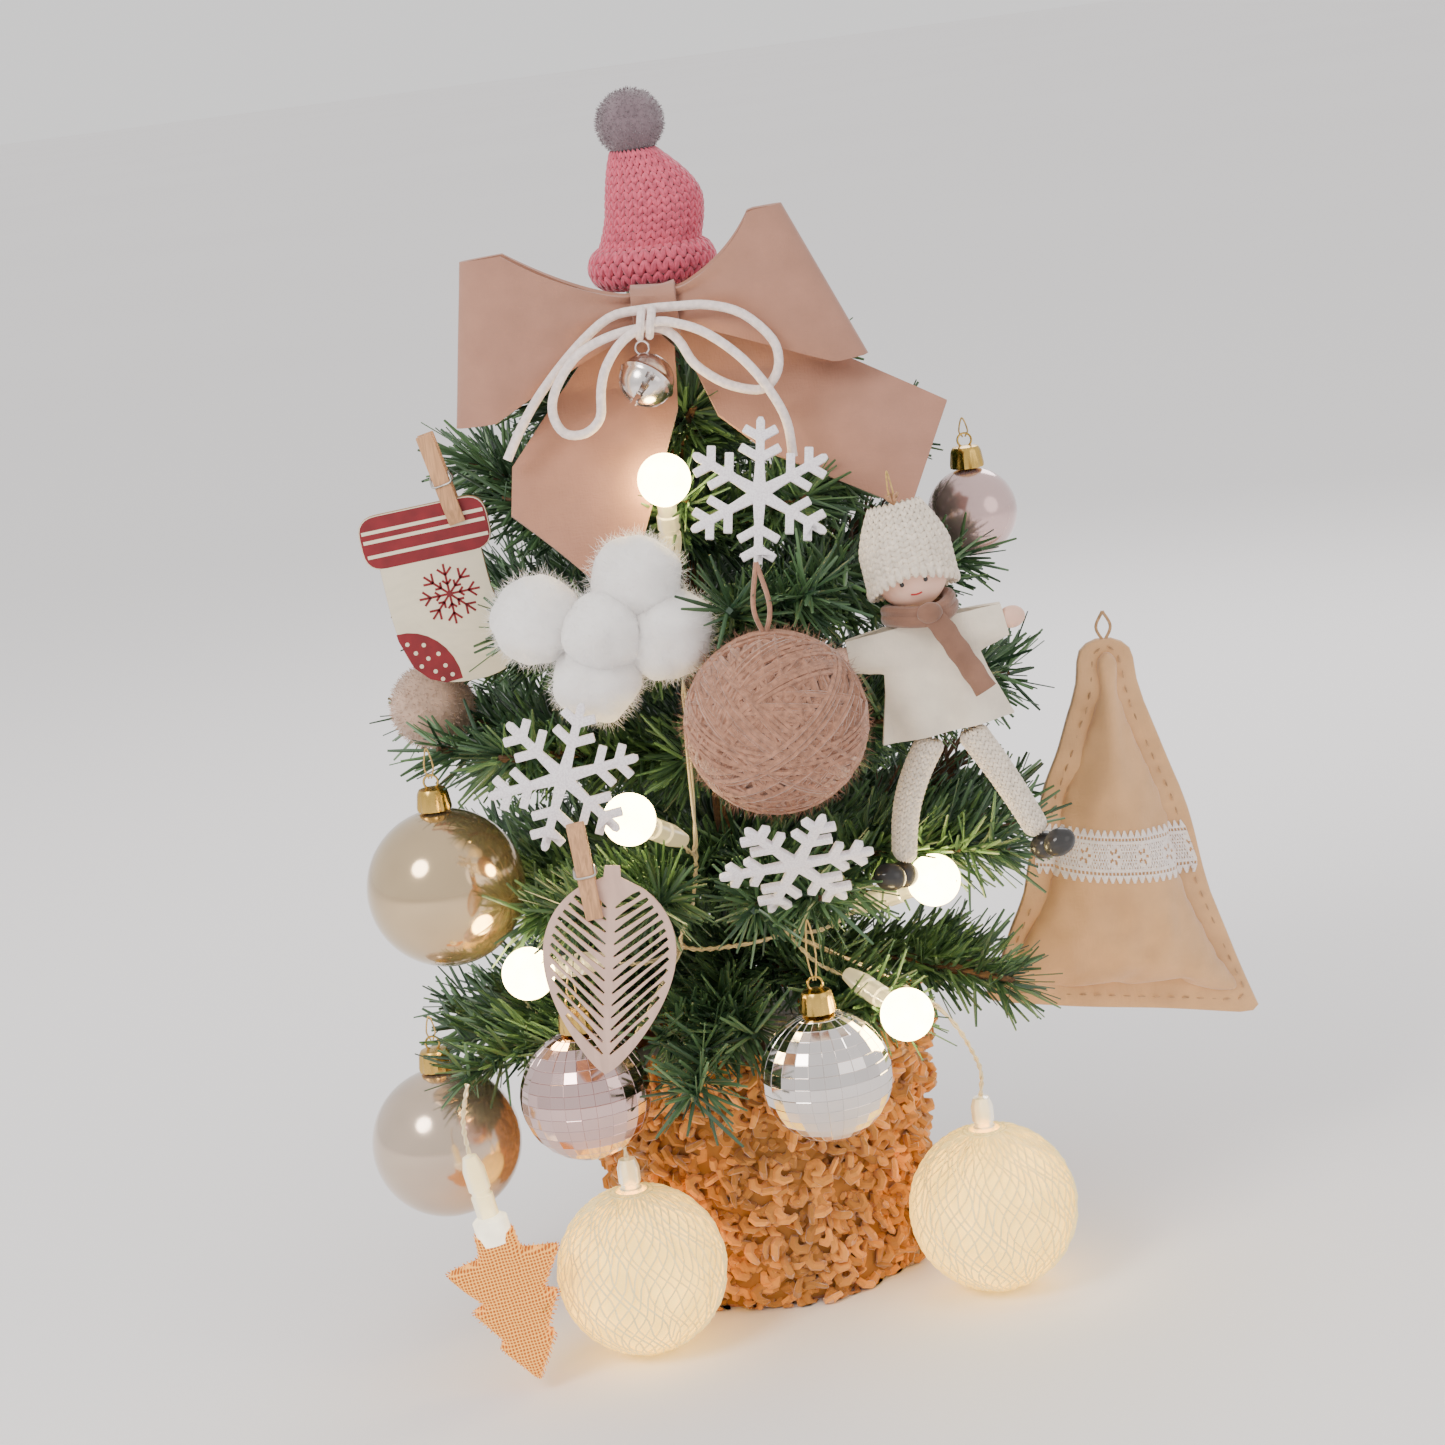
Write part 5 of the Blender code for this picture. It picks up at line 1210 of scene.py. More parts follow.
def make_cotton():
    cotton, shader = surface("cotton_boll", (0.92, 0.89, 0.87), 1.0, Sheen_Weight=0.6, Sheen_Roughness=0.6,
                             Subsurface_Weight=0.35, Subsurface_Radius=(0.004, 0.004, 0.004), Subsurface_Scale=1.0)
    if shader:
        mottle(shader, (0.90, 0.87, 0.85), 60.0, 0.93, 1.05, 5.0)
        bump(shader, noise_of(shader.id_data, 420.0, 6.0), 0.5, 0.0006)
    skin = bmesh.new()
    for x, y, z, radius in PUFFS:
        spot = COTTON_CENTRE + Vector((x, y, z))
        verts = ball(skin, spot, radius * 0.95, 36, 26)
        for vertex in verts:
            away = vertex.co - spot
            lump = noise.noise(vertex.co * 90) * 0.14 + noise.noise(vertex.co * 230) * 0.05
            vertex.co = spot + away * (1 + lump)
    base = mesh_of("cotton_skin", skin)
    wisps = grow(base.copy(), hair, 560000.0, 0.0052, 0.00011, cotton, (0.85, 0.0, 0.0), ruffle=1.0,
                 spread_by=0.75, seed=17)
    bm = bmesh.new()
    join_into(bm, base)
    join_into(bm, wisps)
    keep("cotton_bolls", bm, cotton, "root", ["cotton_flower"])


# ---------------------------------------------------------------- hanging balls

def ball_cap(name, top):
    """A crimped gold cap with its wire ring and a doubled thread."""
    gold = metal_material("cap_gold", (0.62, 0.40, 0.10), 0.22)
    low, high = BOX[f"{name}_cap"]
    middle_x, middle_y = (low.x + high.x) / 2, (low.y + high.y) / 2
    radius = (high.x - low.x) / 2
    foot = high.z - 0.0085
    centre = Vector((middle_x, middle_y, 0.0))

    def build(bm):
        steps = 56
        profile = ((0.62, 0.0, 0), (0.98, 0.0, 1), (1.0, 0.0012, 1), (0.90, 0.0058, 1), (0.88, 0.0068, 0),
                   (0.78, 0.0078, 0), (0.30, 0.0083, 0))
        rings = []
        for share, height, crimp in profile:
            ring = []
            for k in range(steps):
                turn = math.tau * k / steps
                r = radius * share * (1 + (0.035 * math.cos(14 * turn) if crimp else 0.0))
                ring.append(bm.verts.new(centre + Vector((r * math.cos(turn), r * math.sin(turn), foot + height))))
            rings.append(ring)
        loft(bm, rings)
        eye = centre + above(high.z + 0.0018)
        ring = [eye + Vector((0.0026 * math.cos(t), 0.0, 0.0026 * math.sin(t)))
                for t in angles(20)]
        sweep(bm, ring, 0.00042, 6, closed=True)

    piece(f"{name}_cap_gold", build, gold, name, [f"{name}_cap"])
    hang_thread(f"{name}_thread", centre + above(high.z + 0.003), top, name, 0.0016)


def hang_thread(name, low, top, body, apart=0.002):
    """A doubled gold thread from a ring up to the branch."""
    gold = yarn_material("gold_thread", (0.62, 0.44, 0.16), 2200.0, 0.2, 0.8, 1.3, Metallic=0.5)

    def build(bm):
        bend = top + above(0.0022)
        route = [low + Vector((-0.0004, 0, 0)), low.lerp(top, 0.5) + Vector((-apart, 0, 0)), bend,
                 low.lerp(top, 0.5) + Vector((apart, 0, 0)), low + Vector((0.0004, 0, 0))]
        sweep(bm, spline_points(route, 8), 0.00032, 5)

    piece(name, build, gold, body)


def make_balls():
    glosses = (
        ("champagne_ball", "champagne_gloss", (0.58, 0.43, 0.25), 0.10, 0.85, 0),
        ("pearl_ball", "pearl_gloss", (0.60, 0.47, 0.36), 0.13, 0.75, 0),
        ("pink_ball", "pink_gloss", (0.68, 0.47, 0.45), 0.14, 0.7, 0),
        ("mirror_ball_left", "rose_mirror", (0.62, 0.43, 0.41), 0.07, 1.0, 1),
        ("mirror_ball_front", "silver_mirror", (0.78, 0.72, 0.69), 0.07, 1.0, 1),
    )
    for name, slot_name, base, roughness, metallic, faceted in glosses:
        finish = gloss_material(f"{slot_name}_shell", base, roughness, metallic)
        centre, radius = ball_in(name)

        def build(bm):
            if not faceted:
                ball(bm, centre, radius, 72, 48)
                return
            lean = rotation(12.0, "Z", 3)
            ball(bm, centre, radius, 26, 17, turn=lean)
            tiles = [f for f in bm.faces if len(f.verts) == 4]
            bmesh.ops.inset_individual(bm, faces=tiles, thickness=0.00022, depth=0.00016)

        shell = piece(f"{name}_shell", build, finish, name, [name], sharp=3.0 if faceted else 35.0)
        if faceted:
            shell.data.shade_flat()
        ball_cap(name, hinge(f"{name}_swing"))
    fuzzy_ball("felt_ball_nap", "felt_ball", "felt_ball", "pale_felt", (0.56, 0.38, 0.28), 0.002)
    low, high = BOX["felt_ball"]
    hang_thread("felt_ball_thread", Vector(((low.x + high.x) / 2, (low.y + high.y) / 2, high.z - 0.002)),
                hinge("felt_ball_swing"), "felt_ball", 0.001)


# ---------------------------------------------------------------- doll

COLLAR = Vector((0.0797, -0.080, 0.2617))
DOLL_LEAN = -7.0
STANCE = Matrix.Translation(COLLAR) @ rotation(DOLL_LEAN, "Y")
LEGS = (("left", -0.0085, 26.0), ("right", 0.0085, -20.0))
SHOULDER = -0.0044
COAT_LENGTH = 0.040
HIP_RADIUS = 0.0055
LEG_LENGTH = 0.036
SHOE_HEIGHT = 0.0052
GAP = 0.0004
HIP_Z = SHOULDER - COAT_LENGTH - GAP - HIP_RADIUS


def stand(bm, matrix):
    bmesh.ops.transform(bm, matrix=matrix, verts=bm.verts)


def made_in(name, build, materials, body, matrix, stands_for=(), sharp=35.0):
    def placed(bm):
        build(bm)
        stand(bm, matrix)
    return piece(name, placed, materials, body, stands_for, sharp)


def slice_grid(bm, step):
    """Cuts a flat board into a grid, so that it can bend."""
    xs = [v.co.x for v in bm.verts]
    zs = [v.co.z for v in bm.verts]
    for values, axis in ((xs, 0), (zs, 2)):
        for k in range(1, int((max(values) - min(values)) / step) + 1):
            cut(bm, axis, min(values) + step * k)


def make_doll():
    skin, shader = surface("doll_skin", (0.80, 0.50, 0.38), 0.75, Subsurface_Weight=0.2,
                           Subsurface_Radius=(0.002, 0.001, 0.001), Subsurface_Scale=1.0)
    if shader:
        mottle(shader, (0.80, 0.50, 0.38), 120.0, 0.95, 1.05)
        bump(shader, noise_of(shader.id_data, 900.0, 3.0), 0.15, 0.0002)
    ink = gloss_material("black_paint", (0.008, 0.007, 0.007), 0.45, 0.0)
    red = felt_material("mouth_thread", (0.45, 0.03, 0.03))
    cream = yarn_material("cream_wool", (0.80, 0.70, 0.58), 1300.0, 0.5, 0.82, 1.12)
    brown = felt_material("brown_scarf_felt", (0.24, 0.125, 0.085), 1500.0, 0.4)
    coat_felt = felt_material("cream_coat_felt", (0.80, 0.71, 0.58), 1300.0, 0.35, 0.90, 1.08)
    tan = yarn_material("tan_wool", (0.50, 0.28, 0.15), 1300.0)
    head = 0.013
    head_z = head + 0.0006
    centre = above(head_z)

    def on_face(x, z, lift=0.0):
        y = -math.sqrt(max(0.0, head**2 - x**2 - z**2)) - lift
        return centre + Vector((x, y, z))

    def face(bm):
        ball(bm, centre, head, 40, 28)
        for x in (-0.0040, 0.0044):
            ball(bm, on_face(x, -0.0016), 0.00085, 12, 8, (1.0, 0.6, 1.1), material=1)
        smile = [on_face(0.0002 + x, -0.0062 + 9.0 * x * x * 10, 0.0001) for x in
                 [(-4 + k) * 0.0005 for k in range(9)]]
        sweep(bm, smile, 0.00034, 6, material=2)

    made_in("doll_face", face, [skin, ink, red], "doll", STANCE, ["doll_head"])

    def hat_place(u, v):
        angle = math.tau * u
        closing = max(0.0, (v - 0.45) / 0.55)
        deep = 0.0152 * (1 - closing**1.6) + 0.0022 * closing
        wide = 0.0156 * (1 - 0.40 * closing**1.4)
        x = max(-0.93, min(0.93, math.cos(angle))) / 0.93
        dip = 0.0115 * (0.5 + 0.5 * math.sin(angle)) ** 0.6 * (1 - v)
        return Vector((wide * x, deep * math.sin(angle), head_z + 0.0022 - dip + 0.0227 * v))

    bm = bmesh.new()
    knit(bm, hat_place, (44, 22), (30, 12, 1.1), 0.0007, cream)
    rib = []
    for k in range(34):
        angle = math.tau * k / 34
        out = Vector((math.cos(angle), math.sin(angle), 0.0))
        edge = head_z + 0.0030 - 0.0115 * (0.5 + 0.5 * out.y) ** 0.6
        rib.append((Vector((0.0158 * out.x, 0.0158 * out.y, edge)), out.cross(UP), UP, (0.0028, 0.0022, 0.0052)))
    join_into(bm, place_copies(rib, stitch_shape, cream))
    tuft_top = above(head_z + 0.0243)
    picks = random.Random(3)
    for _ in range(26):
        way = Vector((picks.uniform(-0.7, 0.7), picks.uniform(-0.6, 0.6), 1.0)).normalized()
        tip = tuft_top + way * picks.uniform(0.003, 0.0055)
        sweep(bm, [tuft_top - Vector((0, 0, 0.0005)), tuft_top.lerp(tip, 0.6), tip + Vector((0, 0, -0.0005))],
              0.00042, 4, material=1)
    stand(bm, STANCE)
    keep("doll_hat_knit", bm, [cream, tan], "doll", ["doll_hat"])

    def scarf(bm):
        for level, reach, roll in ((0.0012, 0.0112, 0.0026), (-0.0016, 0.0116, 0.0027)):
            points = [Vector((reach * math.cos(t), reach * math.sin(t), level + 0.0010 * math.sin(2 * t + 0.6)))
                      for t in angles(36)]
            sweep(bm, points, roll, 10, squash=0.9, closed=True)
        spine = spline_points([(0.0030, -0.0125, 0.0), (0.0062, -0.0138, -0.006), (0.0092, -0.0128, -0.014),
                               (0.0126, -0.0112, -0.023), (0.0158, -0.0098, -0.032)], 6)
        across = Vector((0.94, 0.0, 0.34))
        flat = [(across, Vector((0.0, -1.0, 0.0)))] * len(spine)
        widths = [0.0040 + 0.0002 * math.sin(k * 1.1) for k in range(len(spine))]
        sweep(bm, spine, widths, 14, squash=0.26, frames=flat)
        ball(bm, Vector((0.0030, -0.0132, 0.0002)), 0.0042, 18, 12, (1.1, 0.7, 0.9))

    made_in("doll_scarf_felt", scarf, brown, "doll", STANCE, ["doll_scarf"])

    right = [(0.005, -0.0004), (0.009, SHOULDER + 0.0006), (0.028, SHOULDER - 0.0006), (0.0285, SHOULDER - 0.0115),
             (0.0172, SHOULDER - 0.0150), (0.0185, SHOULDER - 0.022), (0.0238, SHOULDER - COAT_LENGTH)]
    outline = [(-x, z) for x, z in right] + [(x, z) for x, z in reversed(right)]
    for sign, label in ((-1, "front"), (1, "back")):
        bm = flat_sheet(outline)
        bmesh.ops.transform(bm, matrix=Matrix.Rotation(math.pi / 2, 4, "X"), verts=bm.verts)
        slice_grid(bm, 0.002)
        bmesh.ops.remove_doubles(bm, verts=bm.verts, dist=1e-5)
        for vertex in bm.verts:
            x, z = vertex.co.x, vertex.co.z
            drop = min(1.0, max(0.0, -z / 0.044))
            half = 0.029 if z > -0.018 else 0.0172 + (0.0238 - 0.0172) * drop
            inward = max(0.0, 1 - (abs(x) / half) ** 2)
            sleeve = max(0.0, (abs(x) - 0.016) / 0.012)
            body_puff = 0.0042 * inward**0.6 * (1 - sleeve)
            fold = 0.0011 * math.sin(x * 330.0 + 1.3) * drop**1.2
            level = (z - SHOULDER + 0.006) / 0.0062
            arm_puff = 0.0024 * math.sqrt(max(0.0, 1 - level**2)) * min(1.0, sleeve * 2)
            vertex.co.y = sign * (0.0006 + body_puff + arm_puff) + fold
        face_outward(bm)
        stand(bm, STANCE)
        mesh = mesh_of(f"doll_coat_{label}", bm)
        coat = thicken(new_object(f"doll_coat_{label}", mesh, coat_felt), 0.0010)
        finish_piece(coat, "doll", ["doll_coat"] if sign < 0 else [])

    def hands(bm):
        for sign in (-1, 1):
            ball(bm, Vector((sign * 0.0308, 0.0, SHOULDER - 0.0062)), 0.0044, 20, 14, (1.1, 0.9, 0.9))

    made_in("doll_hands", hands, skin, "doll", STANCE)
    top_ring = STANCE @ above(head_z + 0.0250)
    hang_thread("doll_thread", top_ring, hinge("doll_swing"), "doll", 0.0008)
    black = gloss_material("shoe_paint", (0.010, 0.009, 0.009), 0.6, 0.0)
    for label, x, splay in LEGS:
        body = f"doll_leg_{label}"
        turn = rotation(DOLL_LEAN + splay, "Y")
        hip = Matrix.Translation(STANCE @ Vector((x, 0.0, HIP_Z))) @ turn
        bow = -0.0034 if label == "left" else 0.0008

        def leg_place(u, v, b=bow):
            angle = -math.tau * u
            along = 0.0042 - 0.0452 * v
            round_off = math.sqrt(max(0.0, 1 - max(0.0, (abs(v - 0.5) - 0.42) / 0.08) ** 2))
            r = (0.0050 - 0.0009 * v) * (0.35 + 0.65 * round_off)
            sway = b * math.sin(math.pi * v)
            return Vector((sway + r * math.cos(angle), r * math.sin(angle), along))

        def leg(bm, surf=leg_place):
            knit(bm, surf, (20, 26), (14, 22, 1.15), 0.0006, cream)

        made_in(f"doll_leg_{label}_knit", leg, cream, body, hip, [f"doll_leg_{label}"])
        low = -(LEG_LENGTH + HIP_RADIUS + GAP + SHOE_HEIGHT)
        aside = -1.0 if label == "left" else 1.0

        def shoe(bm, z=low, way=aside):
            ball(bm, Vector((way * 0.0042, -0.0050, z + 0.0002)), 0.0052, 26, 18, (1.15, 1.0, 0.95))
            ball(bm, Vector((way * -0.0010, 0.0022, z + 0.0004)), 0.0050, 26, 18, (1.1, 1.1, 0.95))

        made_in(f"doll_shoe_{label}_painted", shoe, black, body, hip, [f"doll_shoe_{label}"])


# ---------------------------------------------------------------- cushion

CUSHION_BASE = Vector((0.1435, 0.010, 0.080))
CUSHION_HEIGHT = 0.146
CUSHION_WIDTH = 0.108
CUSHION_PLACE = (
    Matrix.Translation(CUSHION_BASE)
    @ rotation(6.0, "Z")
    @ rotation(3.0, "Y")
)


def cushion_half(t):
    return CUSHION_WIDTH / 2 * (1 - t) ** 1.25 * 0.97 + 0.011 * t


def cushion_drop(x, y):
    """The height of a point once the fir's bottom edge runs down to the right."""
    return y - 0.14 * x * (1 - y / CUSHION_HEIGHT)


def cushion_outline(inset=0.0):
    """Half widths up the fir, pulled in all round by the inset."""
    right = [(CUSHION_WIDTH * 0.42 - inset, inset), (CUSHION_WIDTH * 0.47 - inset, CUSHION_HEIGHT * 0.006 + inset),
             (CUSHION_WIDTH * 0.492 - inset, CUSHION_HEIGHT * 0.022 + inset)]
    count = 16
    for i in range(1, count + 1):
        t = i / count
        bulge = 0.0050 * math.sin(math.pi * min(1.0, t / 0.9)) * (t > 0.3) * min(1.0, (t - 0.3) / 0.3)
        x = cushion_half(t) + bulge - inset
        y = CUSHION_HEIGHT * (0.035 + 0.905 * t) + inset * (1 - t * 1.6)
        right.append((max(x, 0.0035), y))
    crown = max(0.0035, cushion_half(1.0) - inset)
    for turn in (0.5, 0.9, 1.3):
        right.append((crown * math.cos(turn), CUSHION_HEIGHT * 0.94 + 0.0085 * math.sin(turn) - inset * 0.6))
    both = right + [(-x, y) for x, y in reversed(right)]
    return [(x, cushion_drop(x, y)) for x, y in both]


def inflate(mesh, pressure, cap, voxel):
    """Blows up a closed pad with cloth simulation, up to a limit for each point."""
    obj = linked("pad", mesh)
    remesh = obj.modifiers.new("even", "REMESH")
    remesh.mode = "VOXEL"
    remesh.voxel_size = voxel
    even = plain_mesh(obj, 0.0)
    obj.modifiers.clear()
    obj.data = even
    rest = [v.co.copy() for v in even.vertices]
    cloth = obj.modifiers.new("cloth", "CLOTH")
    cloth.settings.use_pressure = True
    cloth.settings.uniform_pressure_force = pressure
    cloth.settings.effector_weights.gravity = 0.0
    cloth.settings.quality = 4
    cloth.point_cache.frame_start = 1
    cloth.point_cache.frame_end = 20
    for step in range(1, 21):
        bpy.context.scene.frame_set(step)
    blown = plain_mesh(obj, 0.0)
    for vertex, start in zip(blown.vertices, rest):
        moved = vertex.co - start
        if moved.length > cap:
            vertex.co = start + moved.normalized() * cap
    bpy.context.scene.frame_set(1)
    bpy.data.objects.remove(obj, do_unlink=True)
    return blown


def make_cushion():
    base = chosen("cushion")
    wool = felt_material("camel_boiled_wool", base, 1000.0, 0.45, 0.92, 1.06)
    thread = yarn_material("camel_thread", shade_of(base, 0.72), 1500.0)
    inner = plate("pad", [cushion_outline(0.0062)], 0.009, Matrix.Rotation(math.pi / 2, 4, "X"))
    pad = inflate(inner, 7.0, 0.0120, 0.0032)
    helper = new_object("pad", pad, wool)
    subdivide = helper.modifiers.new("smooth", "SUBSURF")
    subdivide.levels = 1
    subdivide.render_levels = 1
    pad = plain_mesh(helper, 0.0)
    bpy.data.objects.remove(helper, do_unlink=True)
    for vertex in pad.vertices:
        ruck = noise.noise(vertex.co * 70) * 0.0013 + noise.noise(vertex.co * Vector((150, 150, 60))) * 0.0006
        vertex.co.y += ruck * (1 if vertex.co.y > 0 else -1)
        vertex.co.y = max(-0.0170, min(0.0170, vertex.co.y))
    rim = plate("rim", [cushion_outline(0.0)], 0.0042, Matrix.Rotation(math.pi / 2, 4, "X"), 0.0012)
    bm = bmesh.new()
    join_into(bm, pad)
    edge = bmesh.new()
    edge.from_mesh(rim)
    slice_grid(edge, 0.004)
    for vertex in edge.verts:
        vertex.co.y += 0.0010 * math.sin(vertex.co.z * 190.0 + vertex.co.x * 120.0)
    flat = mesh_of("rim", edge)
    join_into(bm, flat)
    loop_low = above(CUSHION_HEIGHT - 0.002)
    loop_top = above(CUSHION_HEIGHT + 0.010)
    stitches = []
    outline = [Vector((x, 0.0, z)) for x, z in cushion_outline(0.0052)]
    walked = 0.0
    for a, b in zip(outline, outline[1:] + outline[:1]):
        run = b - a
        while walked < run.length:
            way = run.normalized()
            for side in (-1, 1):
                aside = side * 0.0024 + 0.0010 * math.sin(a.z * 190.0 + a.x * 120.0)
                spot = a + way * walked + Vector((0.0, aside, 0.0))
                stitches.append((spot, FRONT, way, (0.0007, 0.0008, 0.0032)))
            walked += 0.0058
        walked -= run.length
    join_into(bm, place_copies(stitches, stitch_shape, thread), 1)
    for sway in (-1, 1):
        bend = loop_low.lerp(loop_top, 0.5) + Vector((sway * 0.0028, 0.0, 0.0))
        sweep(bm, spline_points([loop_low, bend, loop_top], 6), 0.0006, 6, material=1)
    tree = BVHTree.FromBMesh(bm)
    stand(bm, CUSHION_PLACE)
    cushion = keep("fir_cushion", bm, [wool, thread], "cushion", ["cushion"])
    make_lace(tree)


def lace_hole(u, v):
    """True where the lace is open: scalloped edges, eyelets and a row of flowers."""
    scallop = 0.5 - 0.065 * (1 + math.cos(math.tau * u * 22))
    edge = abs(v - 0.5)
    if edge > scallop + 0.02:
        return True
    if 0.285 < edge < 0.345:
        return abs((u * 44) % 1.0 - 0.5) < 0.27
    flower = ((u * 5.5) % 1.0 - 0.5) * 1.55
    across = (v - 0.5) * 1.75
    reach = math.hypot(flower, across)
    angle = math.atan2(across, flower)
    petal = 0.20 + 0.11 * math.cos(5 * angle)
    if 0.10 < reach < petal and reach > 0.12:
        return True
    net = (u * 60 + v * 7) % 1.0, (u * 60 - v * 7) % 1.0
    return reach > 0.40 and edge < 0.25 and abs(net[0] - 0.5) < 0.24 and abs(net[1] - 0.5) < 0.24


def make_lace(tree):
    lace_cotton = yarn_material("lace_cotton", (0.86, 0.77, 0.72), 1700.0, 0.4, 0.9, 1.08)
    columns, rows = 264, 34
    middle_z, width = 0.0645, 0.0205
    half = 0.0315
    grid = {}
    bm = bmesh.new()

    def place(i, j):
        u, v = i / columns, j / rows
        z = middle_z + (v - 0.5) * width - 0.0015 * math.sin(math.pi * u)
        edge = cushion_half((z / CUSHION_HEIGHT - 0.035) / 0.925) - 0.0004
        x = (u - 0.5) * 2 * min(half, edge)
        z = cushion_drop(x, z)
        hit = tree.ray_cast(Vector((x, -0.05, z)), Vector((0.0, 1.0, 0.0)))[0]
        y = (hit.y if hit else -0.003) - 0.0006
        return Vector((x, y, z))

    for j in range(rows):
        for i in range(columns):
            if lace_hole((i + 0.5) / columns, (j + 0.5) / rows):
                continue
            corners = []
            for a, b in ((i, j), (i + 1, j), (i + 1, j + 1), (i, j + 1)):
                if (a, b) not in grid:
                    grid[a, b] = bm.verts.new(place(a, b))
                corners.append(grid[a, b])
            bm.faces.new(corners)
    stand(bm, CUSHION_PLACE)
    mesh = mesh_of("lace_band", bm)
    lace = thicken(new_object("lace_band", mesh, lace_cotton), 0.0005, -1.0)
    finish_piece(lace, "cushion")


# ---------------------------------------------------------------- flat boards

UPRIGHT = Matrix.Rotation(math.pi / 2, 4, "X")


def plate_place(centre, roll, tilt=0.0):
    return (Matrix.Translation(centre) @ rotation(-tilt, "X")
            @ rotation(roll, "Y") @ UPRIGHT)


STOCKING_PLACE = plate_place(Vector((-0.0905, -0.043, 0.2825)), -5.0)
LEAF_PLACE = plate_place(Vector((-0.0375, -0.124, 0.190)), 9.0, 11.0)
PIN_LENGTH = 0.034


def pin_place(board, up, across, roll):
    edge = board @ Vector((across, up, 0.0))
    turn = board.to_3x3().to_4x4() @ Matrix.Rotation(-math.pi / 2, 4, "X") @ rotation(roll, "Y")
    return Matrix.Translation(edge + turn @ above(PIN_LENGTH / 2 - 0.009)) @ turn


def make_pin(name, place, grip):
    wood = wood_material("pin_beech", (0.56, 0.30, 0.15), (140.0, 140.0, 10.0), 0.7, 1.2, 0.55)
    steel = metal_material("pin_wire", (0.55, 0.53, 0.50), 0.25)
    space = grip / 2 + 0.0004
    outer = space + 0.0022
    half = 0.003
    top = PIN_LENGTH / 2

    def leg(sign):
        def build(bm):
            side = [(-space, -top), (-space, 0.0005), (-space - 0.0006, 0.0030), (-space - 0.0008, top),
                    (-outer, top - 0.0004), (-outer, -top + 0.006), (-outer + 0.0012, -top)]
            loft(bm, [[bm.verts.new((x, sign * -y, z)) for y, z in side] for x in (-half, half)])
            face_outward(bm)
            bmesh.ops.bevel(bm, geom=bm.edges[:], offset=0.0003, segments=2, affect="EDGES", profile=0.5)
        return build

    made_in(f"{name}_front_leg", leg(-1), wood, f"{name}_front", place, [f"{name}_front"])
    made_in(f"{name}_back_leg", leg(1), wood, "root", place, [f"{name}_back"])

    def spring(bm):
        coil = []
        for k in range(61):
            turn = math.tau * k / 15
            coil.append(Vector((
                -0.0030 + 0.0060 * k / 60, 0.0021 * math.cos(turn), 0.0016 + 0.0021 * math.sin(turn))))
        sweep(bm, coil, 0.00042, 6)
        for sign in (-1, 1):
            y = sign * (outer + 0.0003)
            arm = [(-0.0033, sign * 0.0015, 0.0016), (-0.0035, y * 0.8, 0.0006), (-0.0033, y, -0.0018),
                   (0.0, y, -0.0022), (0.0033, y, -0.0018), (0.0035, y * 0.8, 0.0006),
                   (0.0033, sign * 0.0015, 0.0016)]
            sweep(bm, spline_points(arm, 5), 0.00042, 6)

    made_in(f"{name}_coil", spring, steel, "root", place, [f"{name}_spring"])


def rounded_outline(points, radius, steps=5):
    """Rounds each corner of a closed outline."""
    out = []
    count = len(points)
    for i in range(count):
        before, here, after = (Vector(points[(i + k) % count]) for k in (-1, 0, 1))
        a = min(radius, (before - here).length * 0.45)
        b = min(radius, (after - here).length * 0.45)
        start = here + (before - here).normalized() * a
        end = here + (after - here).normalized() * b
        for k in range(steps + 1):
            t = k / steps
            point = start.lerp(here, t).lerp(here.lerp(end, t), t)
            out.append((point.x, point.y))
    return out


